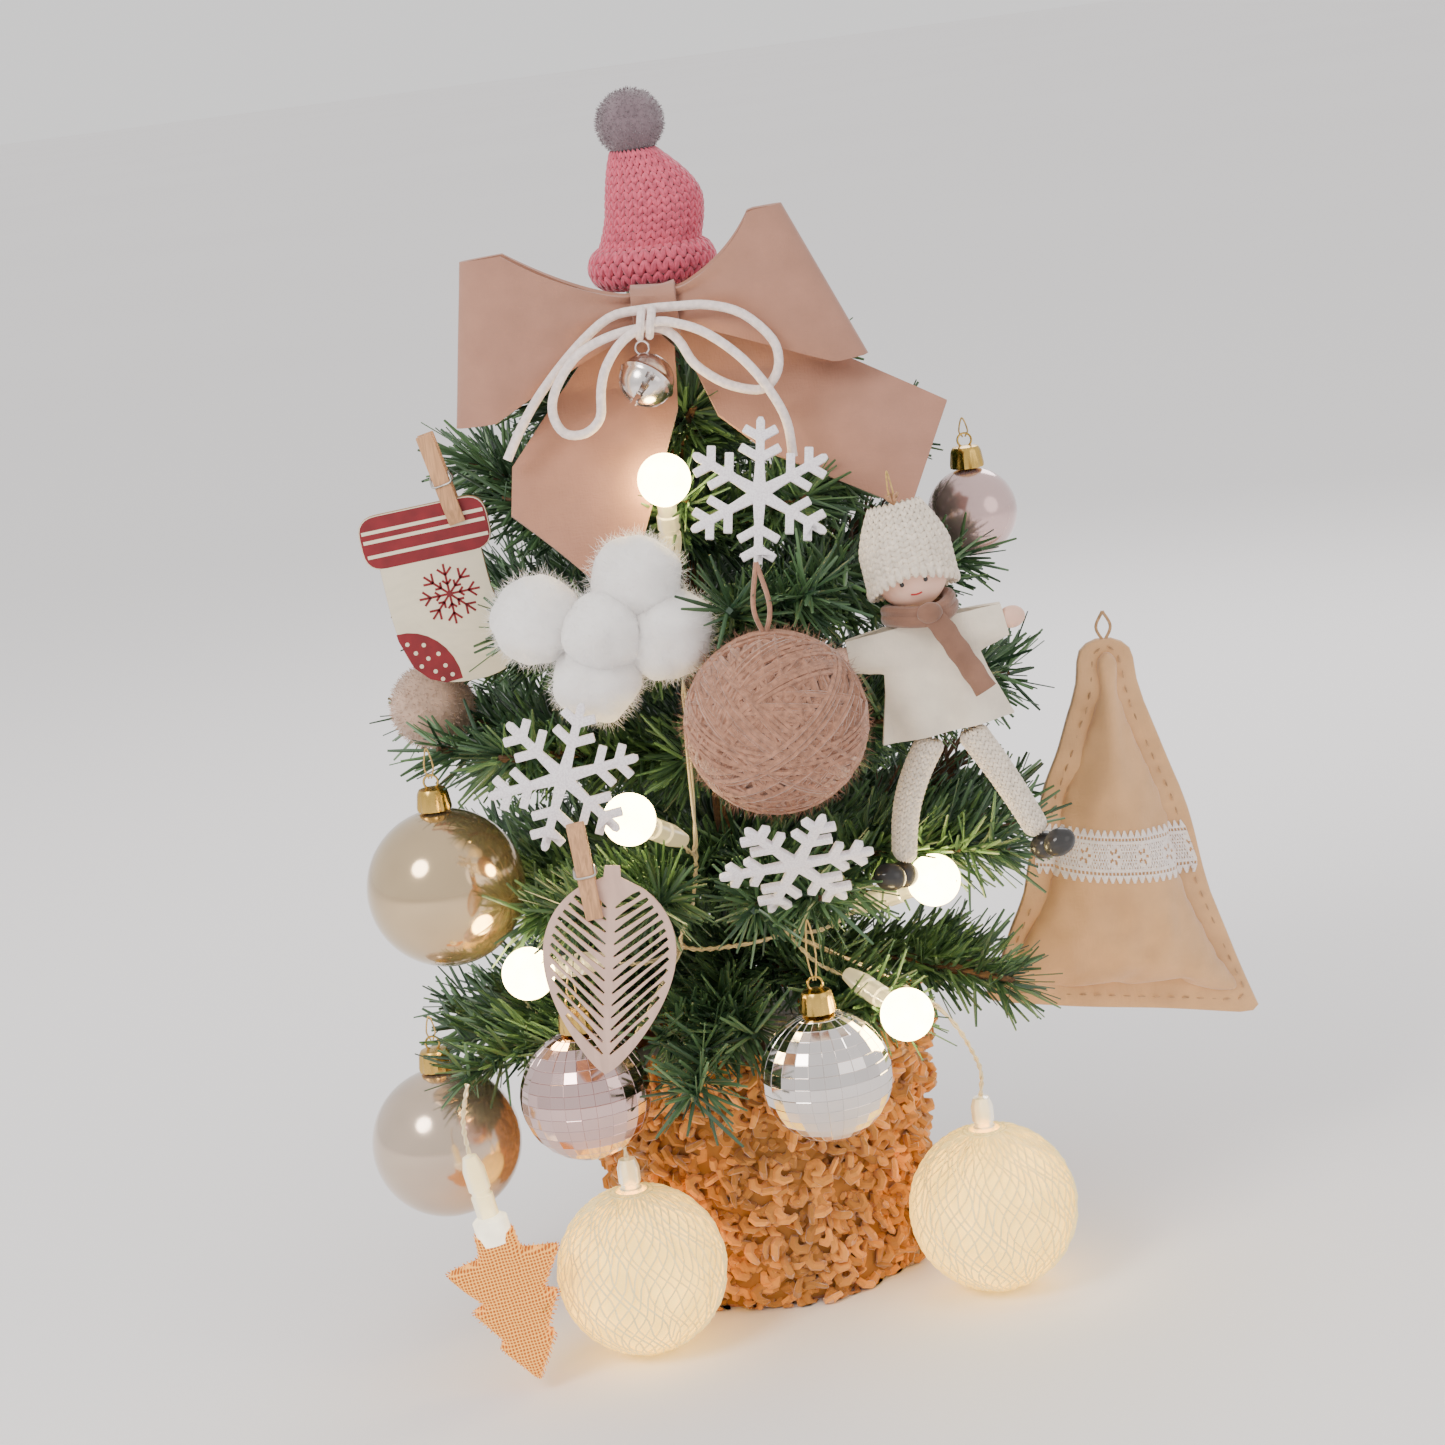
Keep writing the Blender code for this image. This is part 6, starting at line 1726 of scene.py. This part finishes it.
def make_stocking():
    w, h = 0.024, 0.033
    cream = wood_material("board_cream_print", (0.74, 0.66, 0.50), (14.0, 40.0, 40.0), 0.94, 1.04, 0.7)
    red, shader = surface("board_red_print", (0.19, 0.006, 0.012), 0.6)
    if shader:
        mottle(shader, (0.19, 0.006, 0.012), 160.0, 0.8, 1.15)
        bump(shader, noise_of(shader.id_data, 900.0, 3.0), 0.1, 0.0002)
    wood = wood_material("board_edge", (0.42, 0.24, 0.11), (50.0, 50.0, 50.0), 0.7, 1.1, 0.8)
    body = rounded_outline([(-w * 0.80, h - 0.010), (-w * 0.80, -h * 0.30), (-w * 0.66, -h * 0.78), (-w * 0.20, -h),
                            (w * 0.55, -h * 1.02), (w * 1.02, -h * 0.84), (w * 1.04, -h * 0.48), (w * 0.78, -h * 0.18),
                            (w * 0.76, h - 0.010)], 0.010, 6)
    cuff = rounded_outline([(-w, h), (-w, h - 0.020), (w * 0.97, h - 0.020), (w * 0.97, h)], 0.0075, 6)
    parts = bmesh.new()
    join_into(parts, plate("body", [body], 0.003, Matrix.Identity(4), 0.0003), 0)
    join_into(parts, plate("cuff", [cuff], 0.0029, Matrix.Identity(4), 0.0003), 0)
    for face in parts.faces:
        face.material_index = 1 if abs(face.normal.z) > 0.9 and face.calc_center_median().z > 0 else 0

    def print_layer(outlines, lift, material):
        layer = plate("print", outlines, 0.00012, Matrix.Translation((0.0, 0.0, 0.00152 + lift)))
        join_into(parts, layer, material)

    left, right = -w + 0.0004, w * 0.97 - 0.0004
    print_layer([rounded_outline([(left, h - 0.0004), (left, h - 0.0196), (right, h - 0.0196), (right, h - 0.0004)],
                                 0.0072, 6)], 0.0, 2)
    for level in (0.0052, 0.0086, 0.0140):
        left = -w + (0.0012 if level < 0.01 else 0.0016)
        print_layer([[(left, h - level), (left, h - level - 0.0013), (w * 0.97 - 0.0012, h - level - 0.0013),
                      (w * 0.97 - 0.0012, h - level)]], 0.00008, 1)
    heel = [(-w * 0.785, -h * 0.36)]
    for k in range(9):
        turn = math.radians(95 - 95 * k / 8)
        heel.append((-w * 0.72 + 0.0185 * math.cos(turn), -h * 0.96 + 0.0205 * math.sin(turn)))
    heel += [(-w * 0.20, -h * 0.975), (-w * 0.44, -h * 0.90), (-w * 0.64, -h * 0.74), (-w * 0.775, -h * 0.42)]
    print_layer([heel], 0.0, 2)
    for x, y in ((-0.0135, -0.0205), (-0.0095, -0.0235), (-0.0055, -0.0225), (-0.0125, -0.0260), (-0.0080, -0.0290),
                 (-0.0040, -0.0275), (-0.0022, -0.0315), (-0.0060, -0.0325), (-0.0158, -0.0165), (-0.0100, -0.0180)):
        dot = [(x + 0.0008 * math.cos(t), y * 0.94 + 0.0008 * math.sin(t)) for t in angles(12)]
        print_layer([dot], 0.00008, 1)
    centre = Vector((0.0035, -0.0005))
    for arm in range(8):
        turn = Matrix.Rotation(math.pi / 4 * arm, 2)
        strokes = [((0.0, 0.0), (0.0112, 0.0))]
        strokes += [((0.0070, 0.0), (0.0096, side * 0.0026)) for side in (-1, 1)]
        strokes += [((0.0036, 0.0), (0.0052, side * 0.0016)) for side in (-1, 1)]
        for a, b in strokes:
            a, b = Vector(a), Vector(b)
            side = (b - a).normalized().orthogonal() * 0.00042
            quad = [centre + turn @ p for p in (a - side, b - side, b + side, a + side)]
            print_layer([[(p.x, p.y) for p in quad]], 0.00003 + 0.000006 * arm, 2)
    stand(parts, STOCKING_PLACE)
    keep("stocking_printed", parts, [wood, cream, red], "root", ["stocking"])
    make_pin("stocking_pin", pin_place(STOCKING_PLACE, h, 0.011, -8.0), 0.003)


def leaf_half_width(t):
    return 0.023 * math.sin(math.pi * t**0.72) ** 0.75 if 0 < t < 1 else 0.0


def make_leaf():
    length = 0.068
    pale = wood_material("leaf_veneer", (0.62, 0.41, 0.33), (30.0, 30.0, 4.0), 0.90, 1.08, 0.6)
    count = 40
    shares = [0.05 + 0.95 * i / count for i in range(count)]
    right = [(leaf_half_width(t), -length * t) for t in shares]
    outline = [(-0.0026, 0.004), (-0.0030, 0.0), *[(-x, y) for x, y in right], (0.0, -length), *reversed(right),
               (0.0030, 0.0), (0.0026, 0.004)]
    holes = []
    for side in (-1, 1):
        for k in range(13):
            start_t = 0.155 + 0.062 * k
            start = Vector((0.0012 + 0.0004 * (1 - k / 13), -length * start_t))
            way = Vector((math.cos(math.radians(34 + 1.0 * k)), math.sin(math.radians(34 + 1.0 * k))))
            reach = 0.0
            while reach < 0.03:
                spot = start + way * (reach + 0.0005)
                if spot.x > leaf_half_width(-spot.y / length) - 0.0024:
                    break
                reach += 0.0005
            if reach < 0.003:
                continue
            normal = Vector((-way.y, way.x))
            slot = []
            for share, half in ((0.0, 0.0003), (0.3, 0.0008), (0.75, 0.00098), (1.0, 0.0006)):
                slot.append(start + way * reach * share - normal * half)
            back = [start + way * reach * share + normal * half
                    for share, half in ((1.0, 0.0006), (0.75, 0.00098), (0.3, 0.0008), (0.0, 0.0003))]
            holes.append([(side * p.x, p.y) for p in slot + back])
    mesh = plate("leaf_cut", [outline, *holes], 0.0024, LEAF_PLACE, 0.00018)
    finish_piece(new_object("leaf_cut", mesh, pale), "root", ["leaf"], sharp=30.0)
    make_pin("leaf_pin", pin_place(LEAF_PLACE, -0.006, -0.0075, -14.0), 0.0024)


def make_snowflakes():
    paper, shader = surface("snow_card", (0.86, 0.80, 0.84), 0.55, Sheen_Weight=0.2, Subsurface_Weight=0.15,
                            Subsurface_Radius=(0.002, 0.002, 0.002), Subsurface_Scale=1.0)
    if shader:
        tree = shader.id_data
        grit = noise_of(tree, 1600.0, 3.0)
        tones = ((0.35, (0.74, 0.68, 0.73)), (0.62, (0.93, 0.89, 0.92)))
        link(tree, ramp(tree, grit, tones), shader.inputs["Base Color"])
        rough_range(shader, grit, 0.35, 0.75)
        bump(shader, grit, 0.5, 0.0002)
    for number in range(1, 4):
        card = new_object(f"snow_crystal_{number}", node_copy(f"snowflake_{number}"), paper)
        soften = card.modifiers.new("edges", "BEVEL")
        soften.width = 0.0003
        soften.segments = 2
        soften.limit_method = "ANGLE"
        card.data = plain_mesh(card, 0.0)
        card.modifiers.clear()
        finish_piece(card, "root", [f"snowflake_{number}"], sharp=50.0)


# ---------------------------------------------------------------- lights

def clear_material(name, base, roughness=0.1, transmission=0.85, **more):
    material, shader = surface(name, base, roughness, Transmission_Weight=transmission, **more)
    if shader:
        mottle(shader, base, 80.0, 0.95, 1.03)
        rough_range(shader, noise_of(shader.id_data, 300.0, 3.0), roughness * 0.7, roughness * 1.4)
        bump(shader, noise_of(shader.id_data, 250.0, 2.0), 0.05, 0.0003)
    return material


def twisted_wire(bm, route, radius=0.00055, material=0, pitch=0.007):
    """Two fine strands twisted round each other."""
    points = spline_points(route, 7)
    frames = frames_along(points)
    for strand in (0, math.pi):
        travelled = 0.0
        turned = []
        last = points[0]
        for point, (side, normal) in zip(points, frames):
            travelled += (point - last).length
            last = point
            angle = math.tau * travelled / pitch + strand
            turned.append(point + side * radius * math.cos(angle) + normal * radius * math.sin(angle))
        sweep(bm, turned, radius * 0.92, 5, material=material)


# Profiles of (radius, height) for the sockets of the lamps
GLOBE_SOCKET = (
    (0.0, 0.0), (0.0026, 0.0002), (0.0034, 0.004), (0.0041, 0.008), (0.0041, 0.0115), (0.0034, 0.012),
    (0.0034, 0.0132), (0.0041, 0.0137), (0.0041, 0.0185), (0.0034, 0.019), (0.0036, 0.0235), (0.0, 0.026),
)
COTTON_SOCKET = (
    (0.0, 0.0), (0.0028, 0.0006), (0.0040, 0.004), (0.0041, 0.020), (0.0035, 0.0205), (0.0035, 0.022),
    (0.0041, 0.0225), (0.0041, 0.028), (0.0030, 0.0312), (0.0, 0.0318),
)
FIR_CAP = ((0.0, -0.004), (0.0064, -0.004), (0.0064, 0.0045), (0.0044, 0.0060), (0.0, 0.0062))
FIR_SOCKET = (
    (0.0, 0.004), (0.0040, 0.0045), (0.0041, 0.014), (0.0034, 0.0145), (0.0034, 0.0158), (0.0041, 0.0163),
    (0.0041, 0.024), (0.0026, 0.029), (0.0, 0.030),
)


def make_light_string():
    lamp = lit_material("lamp_glow", (1.0, 0.92, 0.72), (1.0, 0.74, 0.30), 34.0, 0.3, 160.0)
    # The sockets' faint emission is painted glow: the light of the bulbs beside them, shining through the plastic
    clear = clear_material("clear_sleeve", (0.95, 0.88, 0.66), 0.18, 0.7,
                           Emission_Color=(1.0, 0.75, 0.35), Emission_Strength=0.6)
    wire = gloss_material("varnished_wire", (0.86, 0.70, 0.40), 0.3, 0.25)

    def build(bm):
        twisted_wire(bm, LIGHT_RUN, material=2)
        for globe, joint in GLOBES:
            globe, joint = Vector(globe), Vector(joint)
            toward = (globe - joint).normalized()
            tail = globe - toward * (GLOBE_RADIUS * 0.9 + SOCKET_LENGTH)
            twisted_wire(bm, [joint, joint.lerp(tail, 0.5) + above(-0.004), tail + toward * 0.004], material=2)
            ball(bm, globe, GLOBE_RADIUS, 36, 26, material=0)
            revolve(bm, GLOBE_SOCKET, tail, 20, toward, 1)
        for number, anchor in ((1, (-0.020, -0.052, 0.143)), (2, (0.018, -0.050, 0.143))):
            anchor = Vector(anchor)
            centre, radius = ball_in(f"cotton_light_{number}")
            top = centre + above(radius + 0.012)
            lamp_at = centre + above(radius - 0.020)
            revolve(bm, COTTON_SOCKET, lamp_at, 20, None, 1)
            ball(bm, lamp_at - above(0.001), 0.0035, 16, 12, material=0)
            rise = top.lerp(anchor, 0.25) + above(0.022)
            twisted_wire(bm, [top - above(0.002), top + above(0.014), rise, anchor], material=2)

    piece("lamp_string", build, [lamp, clear, wire], "root", ["light_string"])


def make_cotton_lights():
    thread = lit_material("woven_thread", (0.95, 0.84, 0.48), (1.0, 0.64, 0.13), 0.6, 0.9, 300.0)
    glow = lit_material("woven_skin", (0.95, 0.72, 0.28), (1.0, 0.60, 0.10), 2.4, 0.9, 60.0)
    for number in (1, 2):
        centre, radius = ball_in(f"cotton_light_{number}")
        rim = math.acos(0.0062 / radius)

        def build(bm):
            inner, wall = radius - 0.0022, radius - 0.0010
            profile = [(0.0, -inner)]
            steps = 24
            profile += [(inner * math.cos(a), inner * math.sin(a))
                        for a in [-math.pi / 2 + (math.pi / 2 + rim) * k / steps for k in range(1, steps + 1)]]
            outer = [(wall * math.cos(a), wall * math.sin(a))
                     for a in [-math.pi / 2 + (math.pi / 2 + rim) * k / steps for k in range(1, steps + 1)]]
            profile += list(reversed(outer)) + [(0.0, -wall)]
            revolve(bm, profile, centre, 48, material=1)
            face_outward(bm)
            picks = random.Random(number)
            for hand in (-1, 1):
                for k in range(46):
                    start = math.tau * (k + picks.uniform(-0.15, 0.15)) / 46
                    points = []
                    for step in range(27):
                        lat = -1.36 + (rim + 1.36) * step / 26
                        lon = start + hand * (1.5 * step / 26 + 0.05 * math.sin(step * 0.9 + k))
                        reach = radius - 0.0005 + 0.0003 * math.sin(step * 1.7 + k * 2.1)
                        points.append(centre + reach * Vector((
                            math.cos(lat) * math.cos(lon), math.cos(lat) * math.sin(lon), math.sin(lat))))
                    sweep(bm, points, 0.00042, 3, material=0)
            for lat in (rim, rim - 0.06, -1.36, -1.30):
                ring = [centre + (radius - 0.0004) * Vector((
                    math.cos(lat) * math.cos(t), math.cos(lat) * math.sin(t), math.sin(lat))) for t in angles(30)]
                sweep(bm, ring, 0.0005, 5, closed=True)

        piece(f"cotton_ball_light_{number}", build, [thread, glow], "root", [f"cotton_light_{number}"])


def make_tree_light():
    jute = lit_material("lit_burlap", (0.55, 0.20, 0.035), (1.0, 0.36, 0.05), 1.2, 0.95, 90.0)
    tree = jute.node_tree
    shader = tree.nodes["Principled BSDF"]
    weave = []
    for axis in ("X", "Z"):
        wave = tree.nodes.new("ShaderNodeTexWave")
        wave.bands_direction = axis
        wave.inputs["Scale"].default_value = 260.0
        wave.inputs["Distortion"].default_value = 2.5
        wave.inputs["Detail"].default_value = 2.0
        link(tree, mapped(tree, (1.0, 1.0, 1.0), (0.0, math.radians(9.0), 0.0)), wave.inputs["Vector"])
        weave.append(wave.outputs["Fac"])
    product = tree.nodes.new("ShaderNodeMath")
    product.operation = "MULTIPLY"
    link(tree, weave[0], product.inputs[0])
    link(tree, weave[1], product.inputs[1])
    bump(shader, product.outputs[0], 1.0, 0.0012)
    link(tree, ramp(tree, product.outputs[0], ((0.05, (1.0, 0.50, 0.10)), (0.35, (0.50, 0.11, 0.01)))),
         shader.inputs["Emission Color"])
    link(tree, ramp(tree, product.outputs[0], ((0.05, (0.72, 0.27, 0.04)), (0.6, (0.36, 0.09, 0.01)))),
         shader.inputs["Base Color"])
    lamp = lit_material("stem_glow", (1.0, 0.95, 0.82), (1.0, 0.86, 0.55), 1.6, 0.4, 200.0)
    wire = gloss_material("varnished_wire", (0.86, 0.70, 0.40), 0.3, 0.25)
    top = Vector((-0.098, -0.107, 0.062))
    place = Matrix.Translation(top) @ rotation(-9.0, "Y")
    w, h = 0.021, 0.057
    right = [(w * 0.34, 0.0), (w * 0.34, -h * 0.16), (w, -h * 0.20), (w * 0.50, -h * 0.46), (w * 0.76, -h * 0.48),
             (w * 0.36, -h * 0.72), (w * 0.50, -h * 0.74), (w * 0.04, -h)]
    outline = rounded_outline(right + [(-x, y) for x, y in reversed(right)], 0.0022, 3)
    bm = bmesh.new()
    join_into(bm, plate("fir", [outline], 0.0105, UPRIGHT, 0.0030), 0)
    slice_grid(bm, 0.003)
    for vertex in bm.verts:
        if vertex.co.z < -0.002:
            vertex.co += Vector((noise.noise(vertex.co * 300), noise.noise(vertex.co * 250 + UP), 0.0)) * 0.0007
    edge = [Vector((x, -0.0002, z)) for x, z in outline]
    for a, b in zip(edge, edge[1:] + edge[:1]):
        count = max(1, int((b - a).length / 0.0016))
        for k in range(count):
            spot = a.lerp(b, (k + 0.5) / count)
            way = (spot - above(-h * 0.5)).normalized()
            tip = spot + way * 0.0016 + Vector((0.0, 0.0008 * math.sin(k * 2.3), 0.0))
            sweep(bm, [spot - way * 0.001, tip], [0.00035, 0.0002], 4)
    revolve(bm, FIR_CAP, Vector(), 24, material=1)
    revolve(bm, FIR_SOCKET, Vector(), 20, material=2)
    stand(bm, place)
    hook = hinge("tree_light_swing")
    start = place @ above(0.028)
    twisted_wire(bm, [start, start.lerp(hook, 0.5) + Vector((-0.002, 0.0, 0.0)), hook], material=3)
    sleeve = clear_material("lit_sleeve", (0.98, 0.90, 0.62), 0.2, 0.4, Emission_Color=(1.0, 0.75, 0.30),
                            Emission_Strength=0.7)
    keep("burlap_fir_light", bm, [jute, lamp, sleeve, wire], "tree_light", ["tree_light"])


# ---------------------------------------------------------------- plain parts and stage

def make_plain_parts():
    """Better finishes for the parts that keep their own shapes."""
    clay = wood_material("pot_terracotta", (0.50, 0.22, 0.12), (30.0, 30.0, 30.0), 0.85, 1.1, 0.85)
    plaster = wood_material("cast_plaster", (0.72, 0.68, 0.62), (40.0, 40.0, 40.0), 0.9, 1.06, 0.9)
    trunk = brown_wire()
    plastic = clear_material("battery_plastic", (0.85, 0.85, 0.83), 0.25, 0.5)
    cell = metal_material("cell_metal", (0.70, 0.70, 0.70), 0.25)
    for material, names in (
        (clay, ["pot"]), (plaster, ["pot_weight"]), (trunk, ["trunk"]),
        (plastic, ["battery_case", "battery_lid", "battery_switch"]), (cell, ["coin_cells"]),
    ):
        for name in names:
            refinish(name, material)


def aim(obj, target, roll=0.0):
    turn = (Vector(target) - obj.location).to_track_quat("-Z", "Y").to_matrix().to_4x4()
    obj.rotation_euler = (turn @ rotation(roll, "Z")).to_euler()


CAMERA_TARGET = (0.0038, 0.0, 0.2134)
CAMERA_DISTANCE = 1.29
CAMERA_TURN, CAMERA_TILT, CAMERA_ROLL = 1.5, 11.7, -7.4
FLOOR_TINT = (0.94, 0.92, 0.92)
FLOOR_SIZE = 40.0


def make_camera():
    data = bpy.data.cameras.new("camera")
    data.lens = 85.0
    data.sensor_width = 36.0
    camera = linked("camera", data)
    target = Vector(CAMERA_TARGET)
    turn, tilt = math.radians(CAMERA_TURN), math.radians(CAMERA_TILT)
    away = Vector((math.sin(turn) * math.cos(tilt), -math.cos(turn) * math.cos(tilt), math.sin(tilt)))
    camera.location = target + CAMERA_DISTANCE * away
    aim(camera, target, CAMERA_ROLL)
    bpy.context.scene.camera = camera


def area_light(name, place, target, size, energy, tint):
    data = bpy.data.lights.new(name, "AREA")
    data.shape = "DISK"
    data.size = size
    data.energy = energy
    data.color = tint
    lamp = linked(name, data)
    lamp.location = place
    aim(lamp, target)


def make_stage():
    floor_paint, shader = surface("floor_paper", FLOOR_TINT, 0.9)
    if shader:
        mottle(shader, FLOOR_TINT, 0.5, 0.99, 1.01)
    bm = bmesh.new()
    bmesh.ops.create_grid(bm, x_segments=1, y_segments=1, size=FLOOR_SIZE)
    mesh = mesh_of("floor", bm)
    floor = new_object("floor", mesh, floor_paint)
    world = bpy.data.worlds.new("studio")
    bpy.context.scene.world = world
    world.use_nodes = True
    back = world.node_tree.nodes["Background"]
    back.inputs["Color"].default_value = (1.0, 0.985, 0.98, 1.0)
    back.inputs["Strength"].default_value = 1.1
    area_light("key", (-0.9, -1.1, 1.3), (0.0, 0.0, 0.22), 0.7, 18.0, (1.0, 0.95, 0.90))
    area_light("fill", (1.2, -0.9, 0.7), (0.0, 0.0, 0.2), 1.0, 3.0, (1.0, 0.93, 0.88))
    area_light("rim", (0.4, 1.2, 1.0), (0.0, 0.0, 0.25), 0.8, 8.0, (1.0, 0.98, 1.0))


# ---------------------------------------------------------------- operators and panel

STEPS = (
    ("stage", "Stage", "Builds the camera, the lights and the floor", (make_camera, make_stage)),
    ("cords", "Cord and lights", "Builds the tied cord and the light string", (make_cord, make_light_string)),
    ("foliage", "Foliage", "Builds the branches and the pot's plush cover", (make_foliage, make_pot_cover)),
    ("hat", "Hat", "Builds the knitted hat and its pompom", (make_hat,)),
    ("bow", "Bow", "Builds the felt bow and its bell", (make_bow, make_bell)),
    ("balls", "Balls", "Builds the hanging balls, the yarn ball and the cotton",
     (make_balls, lambda: wound_ball("mohair_ball", "yarn_ball", "yarn_ball", chosen("yarn")),
      make_cotton)),
    ("doll", "Doll", "Builds the hanging doll", (make_doll,)),
    ("cushion", "Cushion", "Builds the stuffed fir with its lace", (make_cushion,)),
    ("boards", "Boards", "Builds the stocking, the leaf, their pins and the snowflakes",
     (make_stocking, make_leaf, make_snowflakes)),
    ("lamps", "Lamps", "Builds the cotton-ball lights and the burlap fir light",
     (make_cotton_lights, make_tree_light)),
    ("plain", "Plain parts", "Gives the pot, trunk and battery box their finishes", (make_plain_parts,)),
)


def step_operator(key, label, text, makers):
    def execute(self, context):
        for make in makers:
            make()
        return {"FINISHED"}

    return type(f"TREE_OT_{key}", (bpy.types.Operator,), {
        "bl_idname": f"tree.{key}", "bl_label": label, "bl_options": {"REGISTER"}, "__doc__": text,
        "execute": execute})


class TREE_PT_panel(bpy.types.Panel):
    """The tree's settings and one button for each group of pieces"""
    bl_label = "Tabletop Tree"
    bl_idname = "TREE_PT_panel"
    bl_space_type = "VIEW_3D"
    bl_region_type = "UI"
    bl_category = "Tree"

    def draw(self, context):
        column = self.layout.column(align=True)
        for settings in (context.scene.tree_sizes, context.scene.tree_colours):
            for name in settings.bl_rna.properties.keys():
                if name not in ("rna_type", "name"):
                    column.prop(settings, name)
        for key, *_ in STEPS:
            column.operator(f"tree.{key}")


CLASSES = (TreeSizes, TreeColours, *(step_operator(*step) for step in STEPS), TREE_PT_panel)


def register():
    for cls in CLASSES:
        bpy.utils.register_class(cls)
    bpy.types.Scene.tree_sizes = bpy.props.PointerProperty(type=TreeSizes)
    bpy.types.Scene.tree_colours = bpy.props.PointerProperty(type=TreeColours)


def unregister():
    del bpy.types.Scene.tree_colours
    del bpy.types.Scene.tree_sizes
    for cls in reversed(CLASSES):
        bpy.utils.unregister_class(cls)


def main():
    register()
    for key, *_ in STEPS:
        getattr(bpy.ops.tree, key)()


if __name__ == "__main__":
    main()
